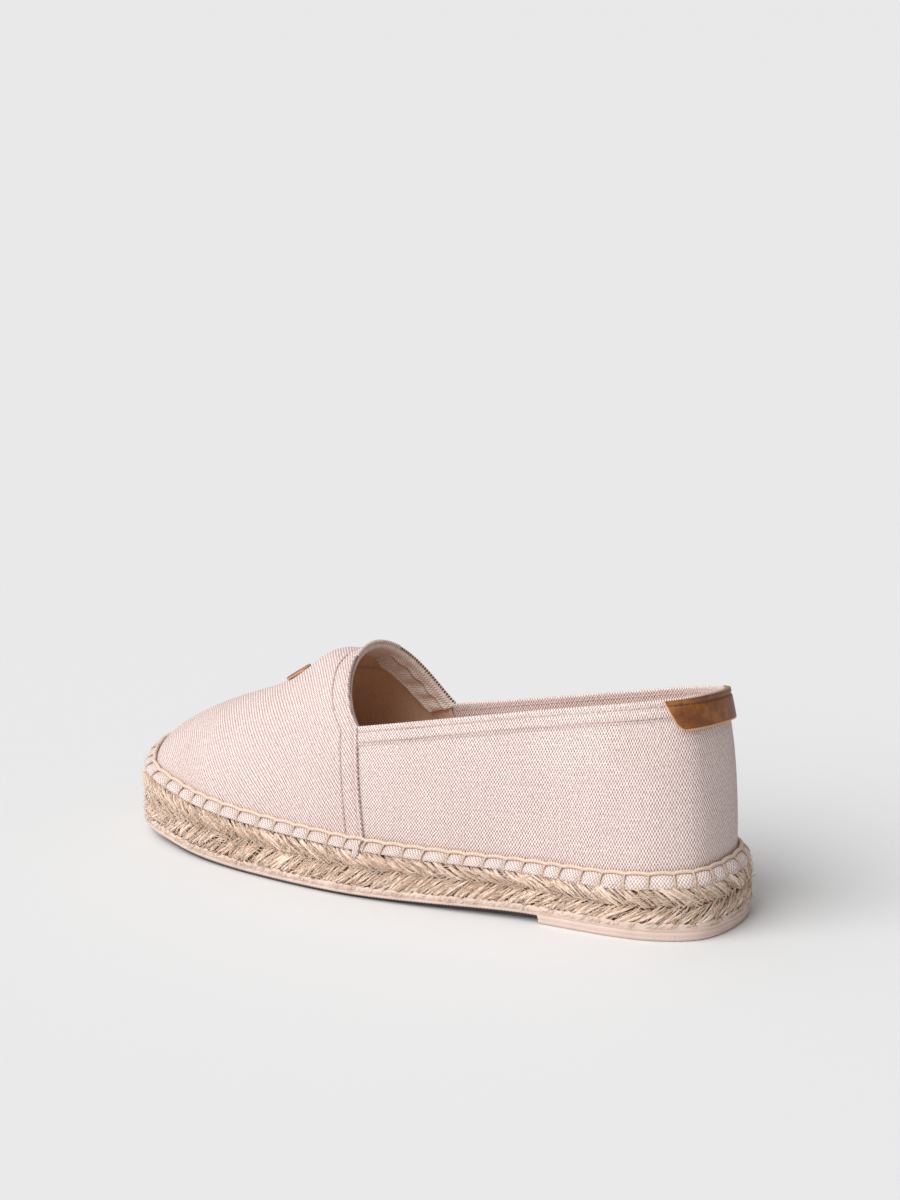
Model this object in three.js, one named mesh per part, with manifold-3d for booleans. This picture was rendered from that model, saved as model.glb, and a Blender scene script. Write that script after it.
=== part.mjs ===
// A flat slip-on espadrille for the left foot: a canvas upper sewn over a plaited jute sole in a rubber cup.
// Millimetres. +X runs towards the toe, +Y towards the outer side of the foot, +Z up.
// The origin is on the floor, under the middle of the sole.
import * as THREE from "three";
import { mergeVertices } from "three/addons/utils/BufferGeometryUtils.js";
import Module from "manifold-3d";

const wasm = await Module();
wasm.setup();

// Driving sizes
const soleLength = 252;
const ballWidth = 86;
const instepHeight = 63; // from the sole's top to the ridge at the throat
const heelHeight = 66; // from the sole's top to the collar at the back
const seamHeight = 38.3; // from the sole's top to the collar's low corners at the side seams

// Sole
const treadThickness = 2.0; // rubber under the jute
const rimHeight = 4.6; // rubber cup, outside, over the tread's own plane
const rimThickness = 1.1;
const rimGroove = 0.35;
const rimFoot = 1.4; // the tread's edge lies this far inside the sole's outline
const juteThickness = 18;
const heelLift = 1.9;
const heelBreast = 0.25; // share of the sole's length
const waistEnd = 0.56; // where the raised waist comes down to the floor
const toeSpring = 4.5;
const springStart = 0.72;
const insoleThickness = 2.6;
const insoleEase = 0.5; // between the insole's edge and the lining, past the gap
const insoleRound = 1.2; // how far its top edge is rounded in

// Upper
const wall = 1.6;
const hemThickness = 0.5; // the folded edge of the collar stands out this much
const hemWidth = 7.5;
const vampLap = 0.9; // the vamp lies this far over the quarters
const skirtThickness = 1.2; // canvas margin sewn over the jute's shoulder
const featherInset = 4.6; // from the sole's edge to the foot of the upper's wall
const sideTilt = 0.12; // the collar and throat sit lower on the inner side, per mm across
const sideSkew = 0.08; // and further back
const gap = 0.3; // between pieces that meet

// Trim
const cordRadius = 0.85;
const tabThickness = 1.4;
const tabHeight = 11.8;
const tabReach = 15; // forward from the back of the heel, along the collar
const discRadius = 5.6;
const discThickness = 1.2;
const discBehindToe = 0.266; // share of the sole's length, to the middle of the disc
const throatBandWidth = 11;
const throatBandThickness = 0.9;
const discLean = 35; // degrees, the disc's axis leans towards the toe with the vamp's slope

// Outline of the sole seen from above: shares of the length from the heel, and of the ball width
// from the middle line, outer side first.
const soleOutline = [
  { along: 0.0, across: -0.005 },
  { along: 0.014, across: 0.215 },
  { along: 0.068, across: 0.337 },
  { along: 0.14, across: 0.387 },
  { along: 0.28, across: 0.414 },
  { along: 0.42, across: 0.485 },
  { along: 0.55, across: 0.533 },
  { along: 0.68, across: 0.524 },
  { along: 0.8, across: 0.476 },
  { along: 0.882, across: 0.395 },
  { along: 0.958, across: 0.262 },
  { along: 1.0, across: -0.043 },
  { along: 0.963, across: -0.28 },
  { along: 0.884, across: -0.42 },
  { along: 0.8, across: -0.48 },
  { along: 0.68, across: -0.467 },
  { along: 0.55, across: -0.425 },
  { along: 0.42, across: -0.385 },
  { along: 0.28, across: -0.372 },
  { along: 0.14, across: -0.382 },
  { along: 0.074, across: -0.335 },
  { along: 0.018, across: -0.21 },
];

// Height of the plaited sole along the shoe, as a share of its thickness.
const juteHeights = [
  { along: 0.0, share: 1.09 },
  { along: 0.06, share: 1.03 },
  { along: 0.16, share: 0.93 },
  { along: 0.32, share: 0.885 },
  { along: 0.5, share: 0.96 },
  { along: 0.7, share: 1.04 },
  { along: 0.8, share: 1.08 },
  { along: 0.9, share: 1.12 },
  { along: 1.0, share: 1.19 },
];

// Sections of the last: the ridge's place along the sole, its height over the sole's top as a share
// of the instep's, its shift across as a share of the ball width, and how square the arch is.
const sections = [
  { along: 0.14, height: 1.5, shift: 0.0, square: 2.4 },
  { along: 0.3, height: 1.42, shift: 0.01, square: 2.2 },
  { along: 0.45, height: 1.3, shift: 0.01, square: 2.05 },
  { along: 0.56, height: 1.1, shift: 0.01, square: 2.0 },
  { along: 0.62, height: 0.965, shift: 0.0, square: 2.0 },
  { along: 0.68, height: 0.855, shift: -0.01, square: 2.0 },
  { along: 0.72, height: 0.745, shift: -0.015, square: 2.0 },
  { along: 0.76, height: 0.632, shift: -0.02, square: 2.0 },
  { along: 0.795, height: 0.555, shift: -0.025, square: 2.0 },
  { along: 0.828, height: 0.49, shift: -0.03, square: 2.0 },
];

// Side of the jute from its bottom to its top: two plaits with a furrow between them, and a shoulder.
const juteProfile = [
  { level: 0.0, out: -2.2 },
  { level: 0.05, out: -1.25 },
  { level: 0.15, out: -0.75 },
  { level: 0.21, out: 0.1 },
  { level: 0.33, out: 0.1 },
  { level: 0.43, out: -0.7 },
  { level: 0.53, out: 0.2 },
  { level: 0.68, out: 0.4 },
  { level: 0.79, out: -0.3 },
  { level: 0.87, out: -1.2 },
  { level: 0.94, out: -2.2 },
  { level: 0.985, out: -3.8 },
  { level: 1.0, out: -7.0 },
];
const shoulderStart = 9; // the row where the canvas margin ends
const shoulderTop = 0.95; // rows over this level lie on top of the shoulder
const shoulderLift = 0.6;

// Curves in plan

const smoothStep = (t) => {
  const s = THREE.MathUtils.clamp(t, 0, 1);
  return s * s * (3 - 2 * s);
};

function centredLoop(rows) {
  const points = rows.map((r) => new THREE.Vector3(r.along * soleLength, r.across * ballWidth, 0));
  const curve = new THREE.CatmullRomCurve3(points, true, "catmullrom", 0.5);
  const loop = curve.getPoints(rows.length * 10).slice(0, -1);
  const box = new THREE.Box3().setFromPoints(loop);
  const middle = box.getCenter(new THREE.Vector3());
  return loop.map((p) => new THREE.Vector2(p.x - middle.x, p.y - middle.y));
}

// The loop runs clockwise seen from above, so its left side is outside.
function offsetLoop(loop, distance) {
  return loop.map((p, i) => {
    const before = loop[(i + loop.length - 1) % loop.length];
    const after = loop[(i + 1) % loop.length];
    const along = after.clone().sub(before).normalize();
    return new THREE.Vector2(p.x - along.y * distance, p.y + along.x * distance);
  });
}

// Where a ray from a point inside the loop leaves it.
function rayHit(loop, from, angle) {
  const ray = new THREE.Vector2(Math.cos(angle), Math.sin(angle));
  for (let i = 0; i < loop.length; i++) {
    const a = loop[i];
    const edge = loop[(i + 1) % loop.length].clone().sub(a);
    const det = ray.cross(edge);
    const start = a.clone().sub(from);
    const reach = start.cross(edge) / det;
    const share = start.cross(ray) / det;
    if (reach > 0 && share >= 0 && share < 1) return from.clone().addScaledVector(ray, reach);
  }
  throw new Error("a ray misses the outline");
}

const soleLoop = centredLoop(soleOutline);
const heelEnd = Math.min(...soleLoop.map((p) => p.x));
const alongOf = (x) => (x - heelEnd) / soleLength;
const xAt = (along) => heelEnd + along * soleLength;

// Reads a column of a table at a place along the sole, smoothly.
function readTable(rows, along, column) {
  const last = rows.length - 1;
  if (along <= rows[0].along) return rows[0][column];
  if (along >= rows[last].along) return rows[last][column];
  const i = rows.findIndex((row) => row.along > along) - 1;
  const at = (k) => rows[THREE.MathUtils.clamp(k, 0, last)];
  const slope = (k) => {
    const [before, after] = [at(k - 1), at(k + 1)];
    return (after[column] - before[column]) / (after.along - before.along);
  };
  const [a, b] = [at(i), at(i + 1)];
  const span = b.along - a.along;
  const t = (along - a.along) / span;
  return (
    a[column] * (1 + 2 * t) * (1 - t) ** 2 +
    span * slope(i) * t * (1 - t) ** 2 +
    b[column] * t * t * (3 - 2 * t) +
    span * slope(i + 1) * t * t * (t - 1)
  );
}
const sectionAt = (along, column) => readTable(sections, along, column);

// Heights of the sole's layers

// Underside of the tread's own plane: raised on the heel lift, down at the ball, up again at the toe.
function basePlane(x) {
  const along = alongOf(x);
  const waist = 1 - smoothStep((along - heelBreast) / (waistEnd - heelBreast));
  const toe = Math.max(0, (along - springStart) / (1 - springStart));
  return heelLift * waist + toeSpring * toe * toe;
}
const underside = (x) => (alongOf(x) < heelBreast ? 0 : basePlane(x));
const juteBottom = (x) => basePlane(x) + treadThickness + gap;
const juteHeight = (x) => juteThickness * readTable(juteHeights, alongOf(x), "share");
const soleTop = (x) => juteBottom(x) + juteHeight(x);
const canvasFoot = (x) => soleTop(x) + gap;

// Stations round the shoe. Each looks out from a point of the ridge line at an angle; between the
// two poles the ridge point slides and the angle is square to the middle line.
const fanSteps = 7;
const bodySteps = 16;
const breastEdge = 0.15;

const toePole = sections[sections.length - 1].along;
const heelPole = sections[0].along;

function halfStations() {
  const list = [];
  for (let i = 0; i <= fanSteps; i++)
    list.push({ along: heelPole, angle: Math.PI - (i / fanSteps) * (Math.PI / 2) });
  const body = Array.from({ length: bodySteps - 1 }, (_, i) =>
    THREE.MathUtils.lerp(heelPole, toePole, (i + 1) / bodySteps),
  );
  const edge = breastEdge / soleLength;
  body.push(heelBreast - edge, heelBreast + edge);
  body.sort((a, b) => a - b);
  body.forEach((along) => list.push({ along, angle: Math.PI / 2 }));
  for (let i = fanSteps; i >= 0; i--)
    list.push({ along: toePole, angle: (i / fanSteps) * (Math.PI / 2) });
  return list.map((s) => ({
    ...s,
    ridge: new THREE.Vector2(xAt(s.along), sectionAt(s.along, "shift") * ballWidth),
  }));
}

const outerSide = halfStations();
const innerSide = outerSide
  .slice(1, -1)
  .reverse()
  .map((s) => ({ ...s, angle: -s.angle }));
const stations = [...outerSide, ...innerSide];

// A ring of points round the shoe at an offset from an outline, with a height for each place.
function ring(loop, offset, heightAt) {
  const moved = offsetLoop(loop, offset);
  return stations.map((s) => {
    const p = rayHit(moved, s.ridge, s.angle);
    return new THREE.Vector3(p.x, p.y, heightAt(p.x));
  });
}

// Joins rings into one closed skin. An open stack is capped by strips across the shoe.
function skin(rings, closed = false) {
  const count = rings[0].length;
  const position = rings.flat().flatMap((p) => [p.x, p.y, p.z]);
  const index = [];
  const spans = closed ? rings.length : rings.length - 1;
  for (let r = 0; r < spans; r++) {
    const low = r * count;
    const high = ((r + 1) % rings.length) * count;
    for (let i = 0; i < count; i++) {
      const j = (i + 1) % count;
      index.push(low + i, high + j, low + j, low + i, high + i, high + j);
    }
  }
  const cap = (start, up) => {
    for (let i = 0; i < count / 2; i++) {
      const [a, b] = [start + i, start + i + 1];
      const [c, d] = [start + ((count - i) % count), start + count - i - 1];
      index.push(...(up ? [d, b, a, c, d, a] : [a, b, d, a, d, c]));
    }
  };
  if (!closed) {
    cap(0, false);
    cap((rings.length - 1) * count, true);
  }
  const geometry = new THREE.BufferGeometry();
  geometry.setAttribute("position", new THREE.Float32BufferAttribute(position, 3));
  geometry.setIndex(index);
  return geometry;
}

// Solids

function solid(geometry) {
  const bare = geometry.clone();
  bare.deleteAttribute("normal");
  bare.deleteAttribute("uv");
  const merged = mergeVertices(bare, 1e-3);
  const index = merged.index.array;
  const kept = [];
  for (let i = 0; i < index.length; i += 3) {
    const [a, b, c] = [index[i], index[i + 1], index[i + 2]];
    if (a !== b && b !== c && a !== c) kept.push(a, b, c);
  }
  return new wasm.Manifold(
    new wasm.Mesh({
      numProp: 3,
      vertProperties: new Float32Array(merged.attributes.position.array),
      triVerts: new Uint32Array(kept),
    }),
  );
}

function geometryOf(manifold) {
  const mesh = manifold.getMesh();
  const geometry = new THREE.BufferGeometry();
  geometry.setAttribute("position", new THREE.BufferAttribute(new Float32Array(mesh.vertProperties), 3));
  geometry.setIndex(new THREE.BufferAttribute(new Uint32Array(mesh.triVerts), 1));
  const flat = geometry.toNonIndexed();
  flat.computeVertexNormals();
  return flat;
}

// A prism across the shoe from a side view, leaning with the collar's tilt.
function sideBlock(points) {
  const shape = new THREE.Shape(points.map(([x, z]) => new THREE.Vector2(x, z)));
  const block = new THREE.ExtrudeGeometry(shape, { depth: 2 * ballWidth, bevelEnabled: false });
  block.translate(0, 0, -ballWidth);
  block.rotateX(Math.PI / 2);
  block.applyMatrix4(new THREE.Matrix4().makeShear(0, 0, sideSkew, sideTilt, 0, 0));
  return solid(block);
}

// The last's skin, offset outwards or inwards: superellipse arches from the feather line to the ridge.
const archSteps = 13;
const ridgeTop = (x) => canvasFoot(x) + sectionAt(alongOf(x), "height") * instepHeight;
const toePoleX = xAt(toePole);
const toeSlope = ridgeTop(toePoleX - 1) - ridgeTop(toePoleX);

function lastForm(offset, below = 0) {
  const featherLoop = offsetLoop(soleLoop, -featherInset);
  const foot = ring(featherLoop, offset, canvasFoot);
  const rings = [];
  if (below > 0) rings.push(foot.map((p) => new THREE.Vector3(p.x, p.y, p.z - below)));
  for (let k = 0; k <= archSteps; k++) {
    const turn = (k / archSteps) * (Math.PI / 2);
    rings.push(
      foot.map((p, i) => {
        const s = stations[i];
        const power = 2 / sectionAt(s.along, "square");
        const inward = 1 - Math.cos(turn) ** power;
        const top = ridgeTop(s.ridge.x) + offset;
        // Ahead of the last section the arches leave the ridge at its own slope.
        const forward = s.along === toePole ? p.x - s.ridge.x : 0;
        const ahead = (toeSlope * forward) / (top - p.z);
        const rise = THREE.MathUtils.lerp(Math.sin(turn) ** power, inward, ahead);
        return new THREE.Vector3(
          THREE.MathUtils.lerp(p.x, s.ridge.x, k === archSteps ? 1 : inward),
          THREE.MathUtils.lerp(p.y, s.ridge.y, k === archSteps ? 1 : inward),
          THREE.MathUtils.lerp(p.z, top, k === archSteps ? 1 : rise),
        );
      }),
    );
  }
  return solid(skin(rings));
}

// Side view of the collar and throat, heel to toe: shares of the length, and of the heights.
const above = 200;
const cornerAlong = 0.543;
const throatAlong = 0.622;
const cornerX = xAt(cornerAlong);
const throatX = xAt(throatAlong);
const cornerZ = canvasFoot(cornerX) + seamHeight;
const throatZ = canvasFoot(throatX) + instepHeight;
const backZ = canvasFoot(heelEnd) + heelHeight;

// The collar's edge from the back of the heel to its low corner, dipping a little below a straight line.
const collarSag = -0.3;

function collarHeight(x) {
  const t = (x - heelEnd) / (cornerX - heelEnd);
  return THREE.MathUtils.lerp(backZ, cornerZ, t) - collarSag * Math.sin(Math.PI * t);
}

function collarLine() {
  const steps = 8;
  return Array.from({ length: steps + 1 }, (_, i) => {
    const x = THREE.MathUtils.lerp(heelEnd, cornerX, i / steps);
    return [x, collarHeight(x)];
  });
}

// The throat's edge from the corner forwards and up to the ridge.
const throatBow = 3.0;

function throatLine(forward = 0) {
  const steps = 6;
  return Array.from({ length: steps + 1 }, (_, i) => {
    const t = i / steps;
    const x = THREE.MathUtils.lerp(cornerX, throatX, t ** 0.8);
    return [x + forward, THREE.MathUtils.lerp(cornerZ, throatZ + 2 * throatBow, t)];
  });
}

// The side seam, from the throat's corner down to the floor, bowed a little towards the toe.
const seamFootForward = -9;
const seamBow = 1;

function seamLine() {
  const steps = 6;
  return Array.from({ length: steps + 1 }, (_, i) => {
    const t = i / steps;
    const x = cornerX + seamFootForward * t - seamBow * Math.sin(Math.PI * t);
    return [x, THREE.MathUtils.lerp(cornerZ, 0, t)];
  });
}

function upper() {
  const opening = sideBlock([
    [heelEnd - soleLength / 4, backZ],
    ...collarLine(),
    ...throatLine().slice(1),
    [throatX, above],
    [heelEnd - soleLength / 4, above],
  ]);
  const vampZone = sideBlock([
    [throatX, above],
    ...throatLine().reverse(),
    ...seamLine().slice(1),
    [cornerX, -above / 2],
    [soleLength, -above / 2],
    [soleLength, above],
  ]);
  const hemZone = sideBlock([
    [heelEnd - soleLength / 8, above],
    [heelEnd - soleLength / 8, backZ - hemWidth],
    ...collarLine().map(([x, z]) => [x, z - hemWidth]),
    [cornerX, above],
  ]);
  const vamp = lastForm(vampLap).intersect(vampZone);
  const hem = lastForm(hemThickness).intersect(hemZone);
  const outside = lastForm(0).add(vamp).add(hem).add(margin());
  return outside.subtract(lastForm(-wall, juteThickness)).subtract(opening);
}

// The canvas margin over the jute's shoulder, joined to the foot of the wall.
function margin() {
  const shoulder = juteProfile.slice(shoulderStart);
  // On the shoulder's top the cloth's own thickness lifts it whole, and on its side by a share.
  const liftShare = (row) => (row.level > shoulderTop ? 1 : shoulderLift);
  const over = (distance) =>
    shoulder.map((row) => {
      const height = (x) => juteBottom(x) + row.level * juteHeight(x) + liftShare(row) * distance;
      return ring(soleLoop, row.out + distance, height);
    });
  return solid(skin([...over(gap + skirtThickness), ...over(gap).reverse()], true));
}

function juteSole() {
  const rings = juteProfile.map((row) => {
    const height = (x) => juteBottom(x) + row.level * juteHeight(x);
    return ring(soleLoop, row.out, height);
  });
  return solid(skin(rings));
}

// The rubber cup: outside of the rim from the floor up, over the rim, and down inside to the tread.
function outsole() {
  const rim = (x) => basePlane(x) + rimHeight;
  const rimSide = [
    { from: underside, share: 0, out: -1.6 },
    { from: underside, share: 0.22, out: -0.5 },
    { from: underside, share: 0.52, out: 0.1 },
    { from: underside, share: 0.6, out: 0.1 - rimGroove },
    { from: underside, share: 0.68, out: 0.1 },
    { from: underside, share: 1, out: 0.2 },
  ];
  const outside = rimSide.map((row) => {
    const height = (x) => THREE.MathUtils.lerp(row.from(x), rim(x), row.share);
    return ring(soleLoop, row.out + rimThickness / 2, height);
  });
  const insideTop = ring(soleLoop, 0.2 - rimThickness / 2, rim);
  const insideFoot = ring(soleLoop, -rimFoot, (x) => basePlane(x) + treadThickness);
  return solid(skin([...outside, insideTop, insideFoot]));
}

function insole() {
  const edge = -featherInset - wall - gap - insoleEase;
  const low = (x) => soleTop(x) + gap;
  const high = (x) => soleTop(x) + gap + insoleThickness;
  const rings = [
    ring(soleLoop, edge - insoleRound / 2, low),
    ring(soleLoop, edge, (x) => low(x) + insoleRound / 2),
    ring(soleLoop, edge, (x) => high(x) - insoleRound * 0.65),
    ring(soleLoop, edge - insoleRound, high),
  ];
  return solid(skin(rings));
}

// Leather tab sewn round the back of the heel, just under the collar's edge.
function heelTab() {
  const steps = 5;
  const end = heelEnd + featherInset + tabReach;
  const edge = (lower, until) =>
    Array.from({ length: steps + 1 }, (_, i) => {
      const x = THREE.MathUtils.lerp(heelEnd, until, i / steps);
      return [x, collarHeight(x) - lower];
    });
  const zone = sideBlock([
    [heelEnd - soleLength / 8, backZ - gap],
    ...edge(gap, end),
    ...edge(tabHeight, end - tabHeight * 0.55).reverse(),
    [heelEnd - soleLength / 8, backZ - tabHeight],
  ]);
  const under = hemThickness + gap;
  return lastForm(under + tabThickness).subtract(lastForm(under)).intersect(zone);
}

// A round leather disc on the vamp, near the throat.
function vampDisc() {
  const x = xAt(1 - discBehindToe);
  const middle = sectionAt(1 - discBehindToe, "shift") * ballWidth;
  const round = new THREE.CylinderGeometry(discRadius, discRadius, instepHeight, 28);
  round.rotateX(Math.PI / 2);
  round.rotateY(THREE.MathUtils.degToRad(discLean));
  round.translate(x, middle, ridgeTop(x));
  const lowest = vampLap + gap;
  return lastForm(lowest + discThickness).subtract(lastForm(lowest)).intersect(solid(round));
}

// Elastic facing inside the throat's edge.
function throatBand() {
  const strip = sideBlock([
    ...throatLine(gap),
    [throatX + throatBandWidth, above],
    ...throatLine(throatBandWidth).reverse(),
  ]);
  const behind = lastForm(-wall - gap);
  return behind.subtract(lastForm(-wall - gap - throatBandThickness, juteThickness)).intersect(strip);
}

// Waxed cord that holds down the margin, along the foot of the wall.
function seamCord() {
  const clear = cordRadius + gap;
  const sides = 6;
  const level = (x) => canvasFoot(x) + skirtThickness + clear;
  const rings = [];
  for (let k = 0; k < sides; k++) {
    const turn = (k / sides) * 2 * Math.PI;
    const out = vampLap + clear - featherInset - cordRadius * Math.cos(turn);
    rings.push(ring(soleLoop, out, (x) => level(x) + cordRadius * Math.sin(turn)));
  }
  return solid(skin(rings.reverse(), true));
}

// The shoe

const canvas = { color: 0xe6d3cb, roughness: 0.95, metalness: 0 };
const leather = { color: 0xa9713c, roughness: 0.55, metalness: 0 };
const pieces = [
  { name: "outsole", make: outsole, look: { color: 0xe3cdbe, roughness: 0.6, metalness: 0 } },
  { name: "jute_sole", make: juteSole, look: { color: 0xc9ab86, roughness: 1, metalness: 0 } },
  { name: "insole", make: insole, look: { color: 0xd9c4b4, roughness: 0.95, metalness: 0 } },
  { name: "upper", make: upper, look: canvas },
  { name: "throat_band", make: throatBand, look: canvas },
  { name: "seam_cord", make: seamCord, look: { color: 0xe0c8a6, roughness: 0.8, metalness: 0 } },
  { name: "heel_tab", make: heelTab, look: leather },
  { name: "vamp_disc", make: vampDisc, look: leather },
];

const shoe = new THREE.Group();
for (const piece of pieces) {
  const mesh = new THREE.Mesh(geometryOf(piece.make()), new THREE.MeshStandardMaterial(piece.look));
  mesh.name = piece.name;
  shoe.add(mesh);
}

export default shoe;
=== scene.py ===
# %% [markdown]
# # A canvas espadrille, dressed in Blender
# The frame holds the hard solids of one left shoe. This lesson puts the cloth, the plait, the
# rubber and the thread over them. The shoe is a rubber cup, a plaited jute sole, a canvas upper
# whose turned-out margin is sewn to the jute with a waxed cord, a leather tab and a leather disc.
# The same last shape that the solids use is worked out again here, so that every piece of cloth
# lies on it.

# %% Load the frame
import math

import bmesh
import bpy
import numpy as np
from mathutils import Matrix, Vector


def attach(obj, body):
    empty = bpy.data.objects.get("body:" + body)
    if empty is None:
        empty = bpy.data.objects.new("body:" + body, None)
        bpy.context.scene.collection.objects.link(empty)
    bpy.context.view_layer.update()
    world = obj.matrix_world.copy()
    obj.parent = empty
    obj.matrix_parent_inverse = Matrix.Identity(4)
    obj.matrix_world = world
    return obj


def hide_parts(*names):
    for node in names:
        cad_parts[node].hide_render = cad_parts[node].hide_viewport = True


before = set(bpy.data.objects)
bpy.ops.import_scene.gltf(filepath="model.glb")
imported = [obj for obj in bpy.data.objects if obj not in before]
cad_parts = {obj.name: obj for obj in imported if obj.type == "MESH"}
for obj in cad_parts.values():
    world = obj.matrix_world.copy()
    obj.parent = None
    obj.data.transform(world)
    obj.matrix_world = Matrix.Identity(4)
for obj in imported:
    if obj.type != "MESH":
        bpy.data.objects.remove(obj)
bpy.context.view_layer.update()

MM = 0.001
rng = np.random.default_rng(7)
print("solids", sorted(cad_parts))

# %% [markdown]
# ## Camera and light
# The photograph was taken from behind the outer side of the shoe, a little above it, through a
# long lens, on white paper in soft light from the toe side. The paper is a big plane, the soft
# light is a wide sun under a white dome, and Standard colour keeps the pale canvas pale.

# %% Camera
CAMERA_TARGET = Vector((-6.9, 0.0, 105.5)) * MM
CAMERA_BACK = Vector((-0.4866, 0.8261, 0.2840)).normalized()
CAMERA_DISTANCE = 1.705
LENS, SENSOR_WIDTH = 139.4, 36.0
FAR_CLIP = 60.0

camera_data = bpy.data.cameras.new("camera")
camera_data.lens = LENS
camera_data.sensor_width = SENSOR_WIDTH
camera = bpy.data.objects.new("camera", camera_data)
camera.location = CAMERA_TARGET + CAMERA_BACK * CAMERA_DISTANCE
camera.rotation_euler = (-CAMERA_BACK).to_track_quat("-Z", "Y").to_euler()
camera_data.clip_end = FAR_CLIP
bpy.context.scene.collection.objects.link(camera)
bpy.context.scene.camera = camera
bpy.context.scene.view_settings.view_transform = "Standard"
print("camera at", [round(c, 3) for c in camera.location])

# %% Lights
SUN_FROM = Vector((0.40, 1.0, 0.98)).normalized()
SUN_STRENGTH = 2.8
SUN_SPREAD = 60
SKY_FROM = Vector((0.48, 0.30, 0.82)).normalized()
SKY_LOW, SKY_HIGH = 0.20, 0.72

sun_data = bpy.data.lights.new("soft_key", "SUN")
sun_data.energy = SUN_STRENGTH
sun_data.angle = math.radians(SUN_SPREAD)
sun = bpy.data.objects.new("soft_key", sun_data)
sun.rotation_euler = SUN_FROM.to_track_quat("Z", "Y").to_euler()
bpy.context.scene.collection.objects.link(sun)

print("sun from", [round(c, 2) for c in SUN_FROM])

# %% [markdown]
# ## Two helpers for finishes
# Every finish is a node tree. One function turns the hex colours that painters use into the
# linear numbers that the shader wants, and one adds a node with its settings and its links.

# %% Colour and node helpers
def hue(hex_text):
    parts = [int(hex_text[i:i + 2], 16) / 255 for i in (0, 2, 4)]
    linear = [c / 12.92 if c <= 0.04045 else ((c + 0.055) / 1.055) ** 2.4 for c in parts]
    return (*linear, 1.0)


def add(tree, kind, values=None, links=None):
    made = tree.nodes.new(kind)
    for key, value in (values or {}).items():
        if isinstance(key, int) or key in made.inputs:
            made.inputs[key].default_value = value
        else:
            setattr(made, key, value)
    for key, source in (links or {}).items():
        socket = source if isinstance(source, bpy.types.NodeSocket) else source.outputs[0]
        tree.links.new(socket, made.inputs[key])
    return made


def blank(name):
    material = bpy.data.materials.new(name)
    material.use_nodes = True
    tree = material.node_tree
    tree.nodes.clear()
    return material, tree


print("white is", hue("FFFFFF"))

# %% [markdown]
# The sky is a white dome that is brightest overhead and towards the toe, as under a large soft
# box, so that the heel end turns darker and little light creeps in under the sole.

# %% Sky
world = bpy.data.worlds.new("studio")
world.use_nodes = True
dome = world.node_tree
dome.nodes.clear()
look = add(dome, "ShaderNodeTexCoord")
facing_up = add(dome, "ShaderNodeVectorMath", {"operation": "DOT_PRODUCT", 1: SKY_FROM},
                {0: look.outputs["Generated"]})
level = add(dome, "ShaderNodeMapRange", {1: 0.0, 2: 1.0, 3: SKY_LOW, 4: SKY_HIGH},
            {0: facing_up.outputs["Value"]})
glow = add(dome, "ShaderNodeBackground", {"Color": (1.0, 1.0, 1.0, 1.0)}, {"Strength": level})
add(dome, "ShaderNodeOutputWorld", None, {"Surface": glow})
bpy.context.scene.world = world
print("sky from", SKY_LOW, "to", SKY_HIGH)

# %% [markdown]
# ## The shape of the last
# A shoe is built round a last. Seen from above its sole follows a closed outline; seen from the
# side a ridge line gives its height; between the two run arches. A place on the last has two
# numbers: `q` goes once round the shoe, 0 at the back of the heel, 3 at the toe and 6 at the heel
# again, with the outer side first; `k` goes from the foot of the wall, 0, to the ridge, 1.
# A modeller could push a subdivided mesh into this shape by hand, but then the cloth would not
# follow the solids, so the tables of the solids are read instead.

# %% Sizes of the shoe in millimetres
SOLE_LENGTH, BALL_WIDTH = 252.0, 86.0
INSTEP, HEEL, SEAM = 63.0, 66.0, 38.3
TREAD, RIM, JUTE = 2.0, 4.6, 18.0
HEEL_LIFT, HEEL_BREAST, WAIST_END = 1.9, 0.25, 0.56
TOE_SPRING, SPRING_START = 4.5, 0.72
INSOLE, WALL, GAP = 2.6, 1.6, 0.3
FEATHER = 4.6
TILT, SKEW = 0.12, 0.08
VAMP_LAP, HEM_STEP, HEM_WIDTH = 0.9, 0.5, 7.5

OUTLINE = np.array([
    (0.0, -0.005), (0.014, 0.215), (0.068, 0.337), (0.14, 0.387), (0.28, 0.414), (0.42, 0.485),
    (0.55, 0.533), (0.68, 0.524), (0.8, 0.476), (0.882, 0.395), (0.958, 0.262), (1.0, -0.043),
    (0.963, -0.28), (0.884, -0.42), (0.8, -0.48), (0.68, -0.467), (0.55, -0.425), (0.42, -0.385),
    (0.28, -0.372), (0.14, -0.382), (0.074, -0.335), (0.018, -0.21),
])
JUTE_HEIGHTS = np.array([
    (0.0, 1.09), (0.06, 1.03), (0.16, 0.93), (0.32, 0.885), (0.5, 0.96), (0.7, 1.04),
    (0.8, 1.08), (0.9, 1.12), (1.0, 1.19),
])
# along, ridge height, shift across, squareness
SECTIONS = np.array([
    (0.14, 1.5, 0.0, 2.4), (0.3, 1.42, 0.01, 2.2), (0.45, 1.3, 0.01, 2.05), (0.56, 1.1, 0.01, 2.0),
    (0.62, 0.965, 0.0, 2.0), (0.68, 0.855, -0.01, 2.0), (0.72, 0.745, -0.015, 2.0),
    (0.76, 0.632, -0.02, 2.0), (0.795, 0.555, -0.025, 2.0), (0.828, 0.49, -0.03, 2.0),
])


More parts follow.
